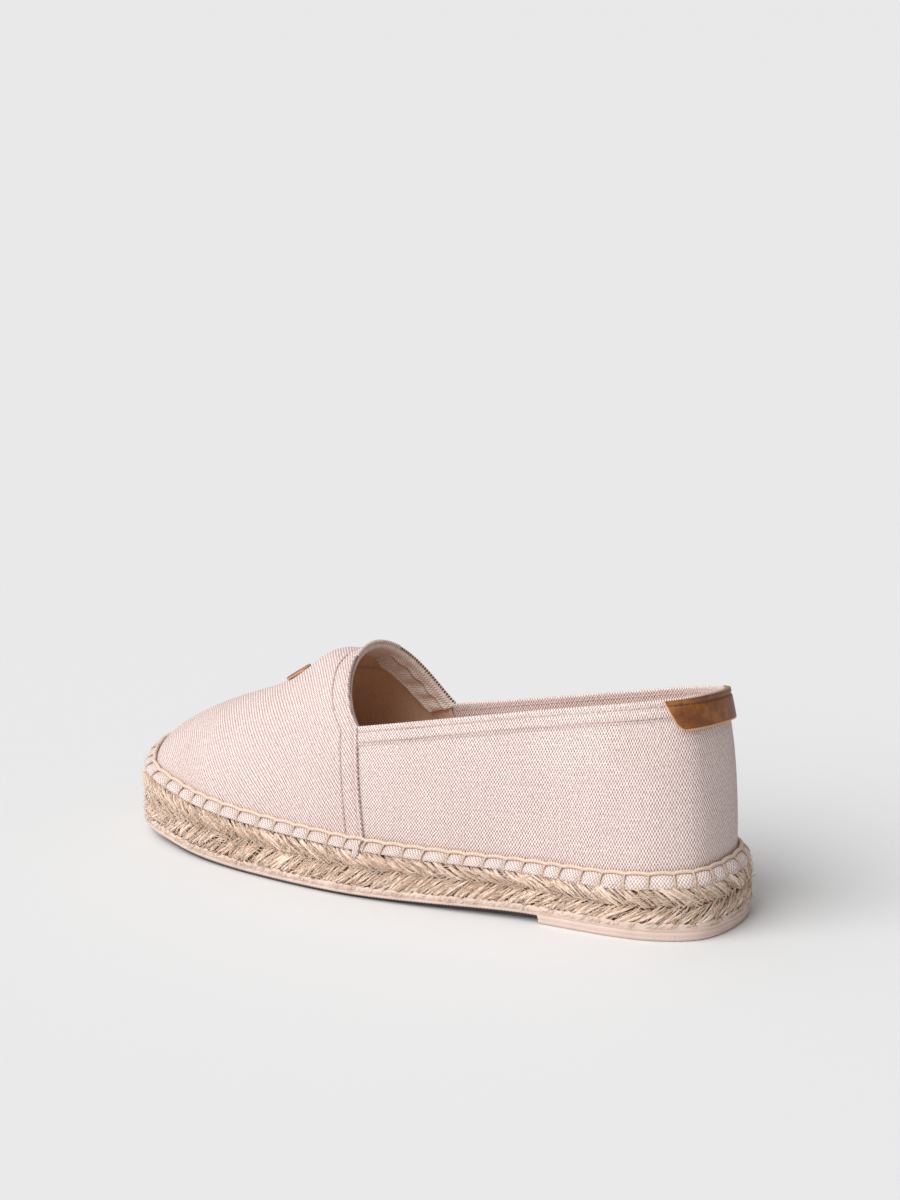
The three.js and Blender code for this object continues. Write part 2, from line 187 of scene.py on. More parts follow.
def read_table(table, column, at):
    xs, ys, last_row = table[:, 0], table[:, column], len(table) - 1
    rows = np.arange(len(table))
    before, after = np.maximum(rows - 1, 0), np.minimum(rows + 1, last_row)
    slopes = (ys[after] - ys[before]) / (xs[after] - xs[before])
    at = np.clip(at, xs[0], xs[-1])
    i = np.clip(np.searchsorted(xs, at, side="right") - 1, 0, last_row - 1)
    span = xs[i + 1] - xs[i]
    t = (at - xs[i]) / span
    ends = ys[i] * (1 + 2 * t) * (1 - t) ** 2 + ys[i + 1] * t * t * (3 - 2 * t)
    return ends + span * t * (1 - t) * (slopes[i] * (1 - t) - slopes[i + 1] * t)


def smooth(t):
    t = np.clip(t, 0.0, 1.0)
    return t * t * (3 - 2 * t)


def mix(a, b, t):
    return a + (b - a) * t


print("sole", SOLE_LENGTH, "mm long,", BALL_WIDTH, "mm wide")

# %% Outline of the sole
def closed_curve(points, per_span=24):
    before, after, far = np.roll(points, 1, 0), np.roll(points, -1, 0), np.roll(points, -2, 0)
    t = (np.arange(per_span) / per_span)[None, :, None]
    a, b, c, d = (p[:, None] for p in (before, points, after, far))
    curve = 2 * b + (c - a) * t + (2 * a - 5 * b + 4 * c - d) * t ** 2
    curve = curve + (3 * b - a - 3 * c + d) * t ** 3
    return (0.5 * curve).reshape(-1, 2)


loop = closed_curve(OUTLINE * (SOLE_LENGTH, BALL_WIDTH))
loop -= (loop.min(0) + loop.max(0)) / 2
heel_end = loop[:, 0].min()
around = np.roll(loop, -1, 0) - np.roll(loop, 1, 0)
around /= np.linalg.norm(around, axis=1, keepdims=True)
loop_out = np.stack([-around[:, 1], around[:, 0]], 1)


def along_of(x):
    return (x - heel_end) / SOLE_LENGTH


def x_at(along):
    return heel_end + along * SOLE_LENGTH


def base_plane(x):
    along = along_of(x)
    waist = 1 - smooth((along - HEEL_BREAST) / (WAIST_END - HEEL_BREAST))
    toe = np.maximum(0, (along - SPRING_START) / (1 - SPRING_START))
    return HEEL_LIFT * waist + TOE_SPRING * toe * toe


def jute_height(x):
    return JUTE * read_table(JUTE_HEIGHTS, 1, along_of(x))


def jute_bottom(x):
    return base_plane(x) + TREAD + GAP


def sole_top(x):
    return jute_bottom(x) + jute_height(x)


print("outline of", len(loop), "points, heel at", round(float(heel_end), 1), "mm")

# %% Places round the shoe
HEEL_POLE, TOE_POLE = SECTIONS[0, 0], SECTIONS[-1, 0]
Q = np.linspace(0.0, 6.0, 1801)
half_way = np.where(Q <= 3, Q, 6 - Q)
q_angle = np.interp(half_way, [0, 1, 2, 3], [np.pi, np.pi / 2, np.pi / 2, 0]) * np.where(Q <= 3, 1, -1)
q_along = np.interp(half_way, [1, 2], [HEEL_POLE, TOE_POLE])
q_ridge = np.stack([x_at(q_along), read_table(SECTIONS, 2, q_along) * BALL_WIDTH], 1)
q_square = read_table(SECTIONS, 3, q_along)
rings = {}
NOWHERE = 1e9
EDGE_SLACK = 1e-9


def ridge_line(q):
    """x and y of the middle line under the ridge, as the places q see it."""
    q = np.mod(q, 6.0)
    return np.stack([np.interp(q, Q, q_ridge[:, i]) for i in (0, 1)], -1)


def ring(offset, q):
    """x and y on the outline moved outwards by the offset, as the places q see it."""
    if offset not in rings:
        moved = loop + loop_out * offset
        edge = np.roll(moved, -1, 0) - moved
        ray = np.stack([np.cos(q_angle), np.sin(q_angle)], 1)[:, None]
        start = moved[None] - q_ridge[:, None]
        det = ray[..., 0] * edge[:, 1] - ray[..., 1] * edge[:, 0]
        reach = (start[..., 0] * edge[:, 1] - start[..., 1] * edge[:, 0]) / det
        share = (start[..., 0] * ray[..., 1] - start[..., 1] * ray[..., 0]) / det
        hit = (reach > 0) & (share >= -EDGE_SLACK) & (share <= 1 + EDGE_SLACK)
        rings[offset] = q_ridge + ray[:, 0] * np.where(hit, reach, NOWHERE).min(1)[:, None]
    q = np.mod(q, 6.0)
    return np.interp(q, Q, rings[offset][:, 0]), np.interp(q, Q, rings[offset][:, 1])


def beyond(q, out, more):
    """x and y beyond the outline by out and more, the x at out alone, and the way outwards."""
    x0, y0 = ring(out, q)
    x1, y1 = ring(out + 1.0, q)
    way = np.stack([x1 - x0, y1 - y0, np.zeros_like(x0)], -1)
    return x0 + (x1 - x0) * more, y0 + (y1 - y0) * more, x0, way


def ridge_top(x):
    return sole_top(x) + GAP + read_table(SECTIONS, 1, along_of(x)) * INSTEP


toe_slope = float(ridge_top(x_at(TOE_POLE) - 1) - ridge_top(x_at(TOE_POLE)))


def last(q, k, offset=0.0):
    """The point at place q round the shoe and k up the arch, in millimetres."""
    q, k = np.broadcast_arrays(np.asarray(q, float), np.asarray(k, float))
    foot_x, foot_y = ring(offset - FEATHER, q)
    foot_z = sole_top(foot_x) + GAP
    turned = np.mod(q, 6.0)
    ridge_x, ridge_y = np.moveaxis(ridge_line(q), -1, 0)
    top = ridge_top(ridge_x) + offset
    power = 2 / np.interp(turned, Q, q_square)
    turn = np.clip(k, 0, 1) * np.pi / 2
    inward = 1 - np.clip(np.cos(turn), 0, 1) ** power
    rise = np.sin(turn) ** power
    forward = np.where((turned >= 2) & (turned <= 4), foot_x - ridge_x, 0.0)
    rise = mix(rise, inward, toe_slope * forward / (top - foot_z))
    return np.stack([mix(foot_x, ridge_x, inward), mix(foot_y, ridge_y, inward),
                     mix(foot_z, top, rise)], -1)


def outward(q, k, offset=0.0, step=0.006):
    """The direction that points out of the last."""
    q, k = np.broadcast_arrays(np.asarray(q, float), np.asarray(k, float))
    round_step = last(q + step, k, offset) - last(q - step, k, offset)
    up_step = last(q, np.minimum(k + step, 1), offset) - last(q, np.maximum(k - step, 0), offset)
    n = np.cross(up_step, round_step)
    size = np.linalg.norm(n, axis=-1, keepdims=True)
    pole = (np.mod(q, 6) > 1.995) & (np.mod(q, 6) < 4.005) & (k > 0.992)
    n = np.where(size > 1e-9, n / np.maximum(size, 1e-9), 0.0)
    lid = np.array([toe_slope, 0.0, 1.0]) / math.hypot(toe_slope, 1.0)
    return np.where(pole[..., None], lid, n)


print("ridge over the throat at", round(float(ridge_top(x_at(0.622))), 1), "mm")

# %% Lengths round the foot of the wall, and the lines where the upper is cut
def walk(points):
    """Millimetres walked along a line up to each of its points."""
    return np.concatenate([[0], np.cumsum(np.linalg.norm(np.diff(points, axis=0), axis=1))])


foot_ring = np.stack(ring(-FEATHER, Q[:-1]), 1)
foot_length = walk(np.vstack([foot_ring, foot_ring[:1]]))
GIRTH = foot_length[-1]


def length_of(q):
    return np.interp(q, Q, foot_length)


def q_of(length):
    return np.interp(np.mod(length, GIRTH), foot_length, Q)


CORNER, THROAT = 0.543, 0.622
corner_x, throat_x = x_at(CORNER), x_at(THROAT)
corner_z = sole_top(corner_x) + GAP + SEAM
throat_z = sole_top(throat_x) + GAP + INSTEP
back_z = sole_top(heel_end) + GAP + HEEL


def collar(x):
    t = (x - heel_end) / (corner_x - heel_end)
    return mix(back_z, corner_z, t) + 0.3 * np.sin(np.pi * np.clip(t, 0, 1))


def vamp_back(z):
    """Side view: how far back the vamp reaches at a height, down the side seam or up the throat."""
    down = np.clip(1 - z / corner_z, 0, 1)
    seam = corner_x - 9 * down - np.sin(np.pi * down)
    up = np.clip((z - corner_z) / (throat_z + 6 - corner_z), 0, 1.15)
    return np.where(z < corner_z, seam, mix(corner_x, throat_x, up ** 0.8))


def side_view(p):
    return p[..., 0] - SKEW * p[..., 1], p[..., 2] - TILT * p[..., 1]


HALVINGS = 34


def halve(test, low, high):
    """Halves the span until it finds where the test turns true."""
    for _ in range(HALVINGS):
        middle = (low + high) / 2
        over = test(middle)
        low, high = np.where(over, low, middle), np.where(over, middle, high)
    return (low + high) / 2


def collar_k(q, offset=0.0):
    def over(k):
        x, z = side_view(last(q, k, offset))
        return z > collar(x)
    return halve(over, np.zeros_like(q), np.ones_like(q))


def edge_q(k, outer, offset=0.0):
    """The place where the vamp's back edge crosses the arch height k."""
    def over(q):
        x, z = side_view(last(q if outer else 6 - q, k, offset))
        return x > vamp_back(z)
    found = halve(over, np.full_like(k, 1.0), np.full_like(k, 2.0))
    return found if outer else 6 - found


def arch_lengths(q, top, wanted, offset=0.0, samples=80):
    """k at wanted lengths up each arch. wanted takes the whole length of each column."""
    ks = np.linspace(0, 1, samples)[:, None] * top[None]
    steps = np.linalg.norm(np.diff(last(q[None], ks, offset), axis=0), axis=-1)
    lengths = np.vstack([np.zeros(len(q)), np.cumsum(steps, 0)])
    want = wanted(lengths[-1])
    columns = [np.interp(want[:, c], lengths[:, c], ks[:, c]) for c in range(len(q))]
    return np.stack(columns, 1), lengths[-1]


print("foot of the wall", round(float(GIRTH), 1), "mm round")

# %% [markdown]
# ## Making surfaces and tubes
# Nearly every piece here is a sheet or a round strand. A sheet is one `create_grid` whose rows and
# columns are laid on the last, with a UV map in millimetres, so that a weave keeps its real size.
# A strand is a grid rolled into a tube, repeated along paths. Both are made once by operators and
# then laid in place, which is quicker and steadier than curves turned into meshes.

# %% Sheets
def piece(mesh, finish, node=None):
    made = bpy.data.objects.new(mesh.name, mesh)
    bpy.context.scene.collection.objects.link(made)
    for one in finish if isinstance(finish, (list, tuple)) else [finish]:
        mesh.materials.append(one)
    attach(made, "root")
    if node:
        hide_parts(*([node] if isinstance(node, str) else node))
    return made


def sheet(name, points, weave=None, weld=0.0, flip=False, **paint):
    """points: rows x columns x 3, and weave: rows x columns x 2, both in millimetres.
    Each paint, from 0 to 1, is kept on the sheet under its own name for the finish to read."""
    weave = points[..., :2] if weave is None else weave
    rows, columns = points.shape[0] - 1, points.shape[1] - 1
    print(name, "weave spans", *np.ptp(weave.reshape(-1, 2), axis=0).round(1), "mm")
    bm = bmesh.new()
    bmesh.ops.create_grid(bm, x_segments=columns, y_segments=rows, size=1.0)
    mesh = bpy.data.meshes.new(name)
    bm.to_mesh(mesh)
    bm.free()
    flat = np.zeros(len(mesh.vertices) * 3)
    mesh.vertices.foreach_get("co", flat)
    flat = flat.reshape(-1, 3)
    column = np.rint((flat[:, 0] + 1) / 2 * columns).astype(int)
    row = np.rint((flat[:, 1] + 1) / 2 * rows).astype(int)
    mesh.vertices.foreach_set("co", (points[row, column] * MM).ravel())
    corner = np.zeros(len(mesh.loops), int)
    mesh.loops.foreach_get("vertex_index", corner)
    uv = mesh.uv_layers.new(name="weave")
    uv.data.foreach_set("uv", weave[row[corner], column[corner]].ravel())
    for word, amount in paint.items():
        painted = mesh.attributes.new(word, "FLOAT", "POINT")
        amount = np.broadcast_to(np.clip(amount, 0, 1), points.shape[:2])
        painted.data.foreach_set("value", amount[row, column].astype(np.float32))
    if weld or flip:
        bm = bmesh.new()
        bm.from_mesh(mesh)
        if weld:
            bmesh.ops.remove_doubles(bm, verts=bm.verts, dist=weld * MM)
        if flip:
            bmesh.ops.reverse_faces(bm, faces=bm.faces)
        bm.to_mesh(mesh)
        bm.free()
    mesh.polygons.foreach_set("use_smooth", np.ones(len(mesh.polygons), bool))
    mesh.update()
    return mesh


def unit(v):
    return v / np.maximum(np.linalg.norm(v, axis=-1, keepdims=True), 1e-12)


def strands(name, paths, radii, ups, sides=8, closed=False, flat=1.0, tints=None):
    """Tubes along paths: count x points x 3. ups points away from the surface they lie on."""
    count, stations = paths.shape[0], paths.shape[1]
    spans = stations if closed else stations - 1
    radii = np.broadcast_to(radii, paths.shape[:2])
    bm = bmesh.new()
    bmesh.ops.create_grid(bm, x_segments=spans, y_segments=sides, size=1.0)
    uv = bm.loops.layers.uv.new("weave")
    for face in bm.faces:
        for corner in face.loops:
            corner[uv].uv = ((corner.vert.co.x + 1) / 2, (corner.vert.co.y + 1) / 2)
    for vert in bm.verts:
        t, turn = (vert.co.x + 1) / 2, (vert.co.y + 1) * math.pi
        arm = 3 + math.cos(turn)
        if closed:
            whole = 2 * math.pi * t
            vert.co = (arm * math.cos(whole), arm * math.sin(whole), math.sin(turn))
        else:
            vert.co = (t, math.cos(turn), math.sin(turn))
    bmesh.ops.remove_doubles(bm, verts=bm.verts, dist=1e-5)
    if not closed:
        bmesh.ops.holes_fill(bm, edges=[e for e in bm.edges if e.is_boundary])
    bmesh.ops.recalc_face_normals(bm, faces=bm.faces)
    template = bpy.data.meshes.new(name + "_one")
    bm.to_mesh(template)
    bm.free()
    flat_co = np.zeros(len(template.vertices) * 3)
    template.vertices.foreach_get("co", flat_co)
    cx, cy, cz = flat_co.reshape(-1, 3).T
    if closed:
        at = np.rint(np.mod(np.arctan2(cy, cx) / (2 * np.pi), 1) * spans).astype(int) % spans
        turn = np.arctan2(cz, np.hypot(cx, cy) - 3)
        tangent = unit(np.roll(paths, -1, 1) - np.roll(paths, 1, 1))
    else:
        at = np.rint(cx * spans).astype(int)
        turn = np.arctan2(cz, cy)
        tangent = unit(np.gradient(paths, axis=1))
    across = unit(np.cross(tangent, ups))
    rise = np.cross(across, tangent)
    shape = rise[:, at] * np.cos(turn)[None, :, None] * flat
    shape = shape + across[:, at] * np.sin(turn)[None, :, None]
    places = paths[:, at] + radii[:, at, None] * shape
    bm = bmesh.new()
    for _ in range(count):
        bm.from_mesh(template)
    mesh = bpy.data.meshes.new(name)
    bm.to_mesh(mesh)
    bm.free()
    mesh.vertices.foreach_set("co", (places * MM).ravel())
    length = np.linalg.norm(np.diff(paths, axis=1), axis=-1).sum(1).mean()
    scale = np.array([length, 2 * np.pi * float(radii.mean())])
    values = np.zeros(len(mesh.loops) * 2)
    mesh.uv_layers["weave"].data.foreach_get("uv", values)
    mesh.uv_layers["weave"].data.foreach_set("uv", (values.reshape(-1, 2) * scale).ravel())
    shade = np.zeros(count) + 0.5 if tints is None else tints
    tint = mesh.attributes.new("tint", "FLOAT", "POINT")
    tint.data.foreach_set("value", np.repeat(shade, len(cx)).astype(np.float32))
    mesh.polygons.foreach_set("use_smooth", np.ones(len(mesh.polygons), bool))
    mesh.update()
    bpy.data.meshes.remove(template)
    return mesh


print("helpers for sheets and strands are ready")

# %% [markdown]
# ## Finish: undyed cotton duck
# Duck is a heavy plain weave: each thread goes over one and under the next, so light catches a
# chessboard of small beads. The real warp is about 0.4 mm apart, which is finer than a pixel
# here, so it is drawn 0.55 mm apart to show, and the thicker weft half as much again. Slubs make
# single threads thicker or darker, and brown flecks of husk are left in raw cotton. The weave
# follows the UV map in millimetres, and a painted `shade` gathers where seams throw shadows.

# %% Cotton duck
WARP, WEFT = 0.55, 0.86


def cotton(name, over="FBEAE6", under="A68B83", warp=WARP, weft=WEFT, relief=0.17, flecks=1.0,
           soil="EEE2DC"):
    material, t = blank(name)
    uv = add(t, "ShaderNodeUVMap", {"uv_map": "weave"})
    wander = add(t, "ShaderNodeTexNoise", {"Scale": 0.5, "Detail": 3.0, "Roughness": 0.6}, {"Vector": uv})
    shift = add(t, "ShaderNodeVectorMath", {"operation": "MULTIPLY_ADD", 1: (0.5, 0.5, 0.0)},
                {0: wander.outputs["Color"], 2: uv})
    grid = add(t, "ShaderNodeSeparateXYZ", None, {0: shift})
    waves = []
    for side, pitch in ((0, warp), (1, weft)):
        angle = add(t, "ShaderNodeMath", {"operation": "MULTIPLY", 1: math.pi / pitch},
                    {0: grid.outputs[side]})
        waves.append(add(t, "ShaderNodeMath", {"operation": "COSINE"}, {0: angle}))
    chess = add(t, "ShaderNodeMath", {"operation": "MULTIPLY"}, {0: waves[0], 1: waves[1]})
    # no two beads of a weave are quite alike
    bead = add(t, "ShaderNodeMapping", {"Scale": (1 / (2 * warp), 1 / weft, 1.0)}, {"Vector": shift})
    uneven = add(t, "ShaderNodeTexNoise", {"Scale": 0.9, "Detail": 2.0, "Roughness": 0.7}, {"Vector": bead})
    lively = add(t, "ShaderNodeMath", {"operation": "MULTIPLY_ADD", 1: 1.5, 2: -0.75}, {0: uneven})
    mixed = add(t, "ShaderNodeMath", {"operation": "ADD"}, {0: chess, 1: lively})
    share = add(t, "ShaderNodeMapRange", {1: -0.7, 2: 0.5}, {0: mixed})
    slubs = []
    for stretch in ((0.03, 1 / weft, 1.0), (1 / warp, 0.03, 1.0)):
        along = add(t, "ShaderNodeMapping", {"Scale": stretch}, {"Vector": shift})
        slubs.append(add(t, "ShaderNodeTexNoise", {"Scale": 1.0, "Detail": 1.0}, {"Vector": along}))
    slub = add(t, "ShaderNodeMath", {"operation": "ADD"}, {0: slubs[0], 1: slubs[1]})
    # painted shade: the gaps between the beads are painted darker, as well as bumped
    body = add(t, "ShaderNodeMix", {"data_type": "RGBA", 6: hue(under), 7: hue(over)}, {0: share})
    slub_tone = add(t, "ShaderNodeMapRange", {1: 0.7, 2: 1.3, 3: 0.95, 4: 1.04}, {0: slub})
    body = add(t, "ShaderNodeMix", {"data_type": "RGBA", "blend_type": "MULTIPLY", 0: 1.0},
               {6: body.outputs[2], 7: slub_tone})
    # handling leaves the cloth a little darker in broad soft patches
    place = add(t, "ShaderNodeTexCoord")
    patches = add(t, "ShaderNodeTexNoise", {"Scale": 38.0, "Detail": 3.0},
                  {"Vector": place.outputs["Object"]})
    worn = add(t, "ShaderNodeMapRange", {1: 0.45, 2: 0.8, 3: 0.0, 4: 0.3}, {0: patches})
    body = add(t, "ShaderNodeMix", {"data_type": "RGBA", "blend_type": "MULTIPLY", 7: hue(soil)},
               {0: worn, 6: body.outputs[2]})
    # husk: one cell in a few holds a fleck, and each has its own size
    husk = add(t, "ShaderNodeTexVoronoi", {"Scale": 0.3, "Randomness": 1.0}, {"Vector": shift})
    husk_seed = add(t, "ShaderNodeSeparateColor", None, {0: husk.outputs["Color"]})
    husk_size = add(t, "ShaderNodeMapRange", {1: 0.35, 2: 1.0, 3: 0.0, 4: 0.075 * flecks},
                    {0: husk_seed.outputs[0]})
    husk_on = add(t, "ShaderNodeMath", {"operation": "LESS_THAN"}, {0: husk, 1: husk_size})
    husk_on = add(t, "ShaderNodeMath", {"operation": "MULTIPLY", 1: 0.6}, {0: husk_on})
    body = add(t, "ShaderNodeMix", {"data_type": "RGBA", 7: hue("7D6156")}, {0: husk_on, 6: body.outputs[2]})
    # thread shadows along seams and folds
    seam = add(t, "ShaderNodeAttribute", {"attribute_name": "shade"})
    body = add(t, "ShaderNodeMix", {"data_type": "RGBA", 7: hue("8E7064")},
               {0: seam.outputs["Fac"], 6: body.outputs[2]})
    height = add(t, "ShaderNodeMath", {"operation": "MULTIPLY_ADD", 1: 0.6}, {0: slub, 2: share})
    bump = add(t, "ShaderNodeBump", {"Strength": 1.0, "Distance": relief * MM}, {"Height": height})
    cloth = add(t, "ShaderNodeBsdfPrincipled",
                {"Roughness": 0.95, "Sheen Weight": 0.08, "Sheen Roughness": 0.5, "Specular IOR Level": 0.2},
                {"Base Color": body.outputs[2], "Normal": bump})
    add(t, "ShaderNodeOutputMaterial", None, {"Surface": cloth})
    return material


duck = cotton("cotton_duck_woven")
# painted shade: the vamp is the same duck painted a shade deeper, so that where it faces the light it does
# not bleach
duck_vamp_shaded = cotton("cotton_duck_vamp", "F6E3DF")
duck_margin = cotton("cotton_duck_margin", "F6E8E3", "B49C94", warp=0.56, weft=0.9, flecks=0.3)
print("cotton duck, threads", WARP, "and", WEFT, "mm apart")

# %% [markdown]
# ## The vamp
# The front of the upper is one piece of doubled duck that laps over the quarters. Its back edge
# runs up the side seam and on up the throat, and a row of stitches follows it one hem's width
# ahead. It is a sheet with more columns at that edge, so that the fold can turn under.

# %% Vamp
VAMP_ROWS, VAMP_HALF = 96, 132
FOLD = np.array([0.0, 0.06, 0.16, 0.32, 0.55, 0.85, 1.2, 1.6, 2.1])

# soft troughs and ridges placed one by one: millimetres round from the heel, share up the arch,
# reach round, reach up, lean in millimetres over a whole arch, and height
vamp_folds = [
    (176, 0.62, 9, 0.20, -10, -0.30), (196, 0.50, 7, 0.25, 12, 0.22), (226, 0.35, 10, 0.16, 0, -0.22),
    (158, 0.30, 6, 0.22, 0, 0.18), (380, 0.60, 9, 0.20, 10, -0.30), (352, 0.45, 8, 0.25, -12, 0.22),
    (320, 0.35, 10, 0.16, 0, -0.20),
]


def dip(at, centre, reach):
    return np.exp(-((at - centre) / reach) ** 2)


def soft_folds(length, k, folds):
    total = np.zeros(np.broadcast(length, k).shape)
    for at, up, reach, tall, lean, height in folds:
        total = total + height * dip(length - at - lean * (k - up), 0, reach) * dip(k, up, tall)
    return total


def vamp_grid(rows, half, offset=0.0, start=0.0):
    """Places, arch heights and distances from the back edge for a sheet over the front."""
    k = np.linspace(0, 1, rows + 1)
    parts = []
    for outer in (True, False):
        q_edge = edge_q(k, outer, offset)
        q_edge = q_edge if outer else 6 - q_edge
        start_at, toe = length_of(q_edge) + start, length_of(3.0)
        spread = np.linspace(0, 1, half + 1 - (len(FOLD) - 1))[None]
        far = mix((start_at + FOLD[-1])[:, None], toe, spread)
        near = start_at[:, None] + FOLD[None, :-1]
        at = np.hstack([near, far])
        parts.append((q_of(at), at - start_at[:, None] + start))
    (q_outer, e_outer), (q_inner, e_inner) = parts
    q = np.hstack([q_outer, (6 - q_inner)[:, -2::-1]])
    edge = np.hstack([e_outer, e_inner[:, -2::-1]])
    return q, np.repeat(k[:, None], q.shape[1], 1), edge


def pole_weave(q, k):
    """Cloth laid from the ridge outwards: its threads stay square over the whole vamp."""
    flat_q = np.mod(q.reshape(-1), 6)
    places, heights = 360, 59
    all_q, all_k = np.linspace(0, 6, places + 1), np.linspace(0, 1, heights + 1)
    steps = np.linalg.norm(np.diff(last(all_q[None], all_k[:, None]), axis=0), axis=-1)
    climbed = np.vstack([np.zeros(places + 1), np.cumsum(steps, 0)])
    down = climbed[-1] - climbed
    at_q = flat_q / 6 * places
    low_q = np.clip(at_q.astype(int), 0, places - 1)
    at_k = np.clip(k.reshape(-1), 0, 1) * heights
    low_k = np.clip(at_k.astype(int), 0, heights - 1)
    part_q, part_k = at_q - low_q, at_k - low_k
    r = mix(mix(down[low_k, low_q], down[low_k, low_q + 1], part_q),
            mix(down[low_k + 1, low_q], down[low_k + 1, low_q + 1], part_q), part_k)
    angle = np.interp(flat_q, Q, q_angle)
    way = np.stack([np.cos(angle), np.sin(angle)], -1)
    return (ridge_line(flat_q) + r[:, None] * way).reshape(*q.shape, 2)


def by_throat(k, edge):
    """The cloth sinks just ahead of the standing hem and swells again before the disc."""
    return smooth((k - 0.74) / 0.2) * (1.5 * dip(edge, 16.0, 6.5) - 1.3 * dip(edge, 5.5, 3.6))


def rounded(ahead, radius):
    """0 at a folded edge and 1 from a radius ahead of it, round in between."""
    return np.sqrt(np.clip(1 - (1 - np.clip(ahead / radius, 0, 1)) ** 2, 0, 1))


VAMP_ROW, VAMP_CREASE = 7.2, 1.75
q, k, edge = vamp_grid(VAMP_ROWS, VAMP_HALF)
turned = rounded(edge, 0.5)
doubled = VAMP_LAP + 0.35 * (1 - smooth((edge - 7.6) / 0.8))
rise = turned * (doubled + 0.22 * dip(edge, 0.55, 0.5)) - 0.28 * turned
rise = rise + by_throat(k, edge)
rise = rise - 0.16 * dip(edge, VAMP_ROW, 0.45) - 0.22 * dip(edge, VAMP_CREASE, 0.35)
rise = rise + soft_folds(length_of(q), k, vamp_folds)
vamp_points = last(q, k) + outward(q, k) * rise[..., None]
vamp_shade = 0.4 * dip(edge, VAMP_ROW, 0.28) + 0.35 * dip(edge, VAMP_CREASE, 0.3)
vamp_shade = vamp_shade + 0.45 * dip(edge, 0.0, 0.18)
vamp = piece(sheet("canvas_vamp", vamp_points, pole_weave(q, k), weld=0.05, flip=True, shade=vamp_shade),
             duck_vamp_shaded)
print("vamp", len(vamp.data.polygons), "faces")

# %% [markdown]
# ## The quarters
# One long piece of duck goes from side seam to side seam round the heel. Its top is folded in and
# stitched twice. The sheet runs up the outside, over the fold and a hem's width down the inside.

# %% Quarters
def body_q(x):
    return 1 + (along_of(x) - HEEL_POLE) / (TOE_POLE - HEEL_POLE)


QUARTER_COLUMNS = 340
UNDER_VAMP = 7.0
OUTER_SKEW, INNER_SKEW = 3.2, -2.9
outer_end = length_of(body_q(corner_x + UNDER_VAMP + OUTER_SKEW))
inner_end = GIRTH - length_of(6 - body_q(corner_x + UNDER_VAMP + INNER_SKEW))
quarter_length = np.linspace(outer_end, -inner_end, QUARTER_COLUMNS + 1)
quarter_q = q_of(quarter_length)
quarter_top = collar_k(quarter_q)

quarter_folds = [
    (34, 0.30, 8, 0.14, 0, -0.30), (52, 0.22, 9, 0.10, 0, 0.22), (92, 0.30, 16, 0.12, 0, 0.30),
    (128, 0.28, 9, 0.16, 0, -0.25), (10, 0.30, 7, 0.12, 0, -0.22), (548, 0.28, 8, 0.12, 0, 0.22),
    (520, 0.30, 9, 0.14, 0, -0.30), (462, 0.28, 16, 0.12, 0, 0.30), (430, 0.28, 9, 0.16, 0, -0.25),
]
FOLD_RADIUS, HEM_INSIDE = 0.75, 8.5
COLLAR_ROWS = (2.3, 6.3)
# shares of the way up the outside, the turns of the fold, and millimetres down the inside
outside = np.concatenate([np.linspace(0, 0.80, 34), np.linspace(0.82, 1, 19)[:-1]])
curl = np.radians([0, 30, 60, 90, 120, 150, 180])
inside = np.linspace(0, HEM_INSIDE, 9)[1:]


def quarter_rows(total):
    up = outside[:, None] * (total - FOLD_RADIUS)[None]
    over = (total - FOLD_RADIUS)[None] + FOLD_RADIUS * np.sin(curl)[:, None]
    down = (total - FOLD_RADIUS)[None] - inside[:, None]
    return np.vstack([up, over, down])


quarter_k, quarter_total = arch_lengths(quarter_q, quarter_top, quarter_rows)
quarter_up = quarter_rows(quarter_total)
below_edge = quarter_total[None] - quarter_up
hem = HEM_STEP * (1 - smooth((below_edge - HEM_WIDTH + 0.8) / 0.7))
hem = hem - 0.16 * sum(dip(below_edge, below, 0.4) for below in COLLAR_ROWS)
hem = hem + soft_folds(np.mod(quarter_length, GIRTH)[None], quarter_k, quarter_folds)
thickness = np.concatenate([np.zeros(len(outside)), (1 - np.cos(curl)) * FOLD_RADIUS,
                            np.full(len(inside), 2 * FOLD_RADIUS)])
quarter_rise = np.where(thickness[:, None] > 0, HEM_STEP - thickness[:, None], hem)
quarter_out = outward(quarter_q[None], quarter_k)
quarter_points = last(quarter_q[None], quarter_k) + quarter_out * quarter_rise[..., None]
up_quarter = walk(quarter_points.mean(1))
quarter_weave = np.stack(np.broadcast_arrays(quarter_length[None], up_quarter[:, None]), -1)
row_shade = 0.25 * dip(below_edge, HEM_WIDTH + 0.1, 0.3)
for below, depth in zip(COLLAR_ROWS, (0.4, 0.5)):
    row_shade = row_shade + depth * dip(below_edge, below, 0.28)
row_shade[len(outside):] = 0.0
quarters = piece(sheet("canvas_quarters", quarter_points, quarter_weave, shade=row_shade), duck)
print("quarters", round(float(outer_end + inner_end)), "mm long")

# %% [markdown]
# ## Rows of stitches
# Lock stitches in cotton thread hold the collar's hem twice and the vamp's hem once. Each stitch
# is a short strand that lies in its own small hollow and dives into the cloth at both ends.

# %% Sewn rows
SEW_RADIUS = 0.24
SINK = 0.22
sewing_thread = cotton("cotton_sewing_thread", "E3CFC5", "AF958A", warp=0.4, weft=0.4, relief=0.05,
                       flecks=0.0)


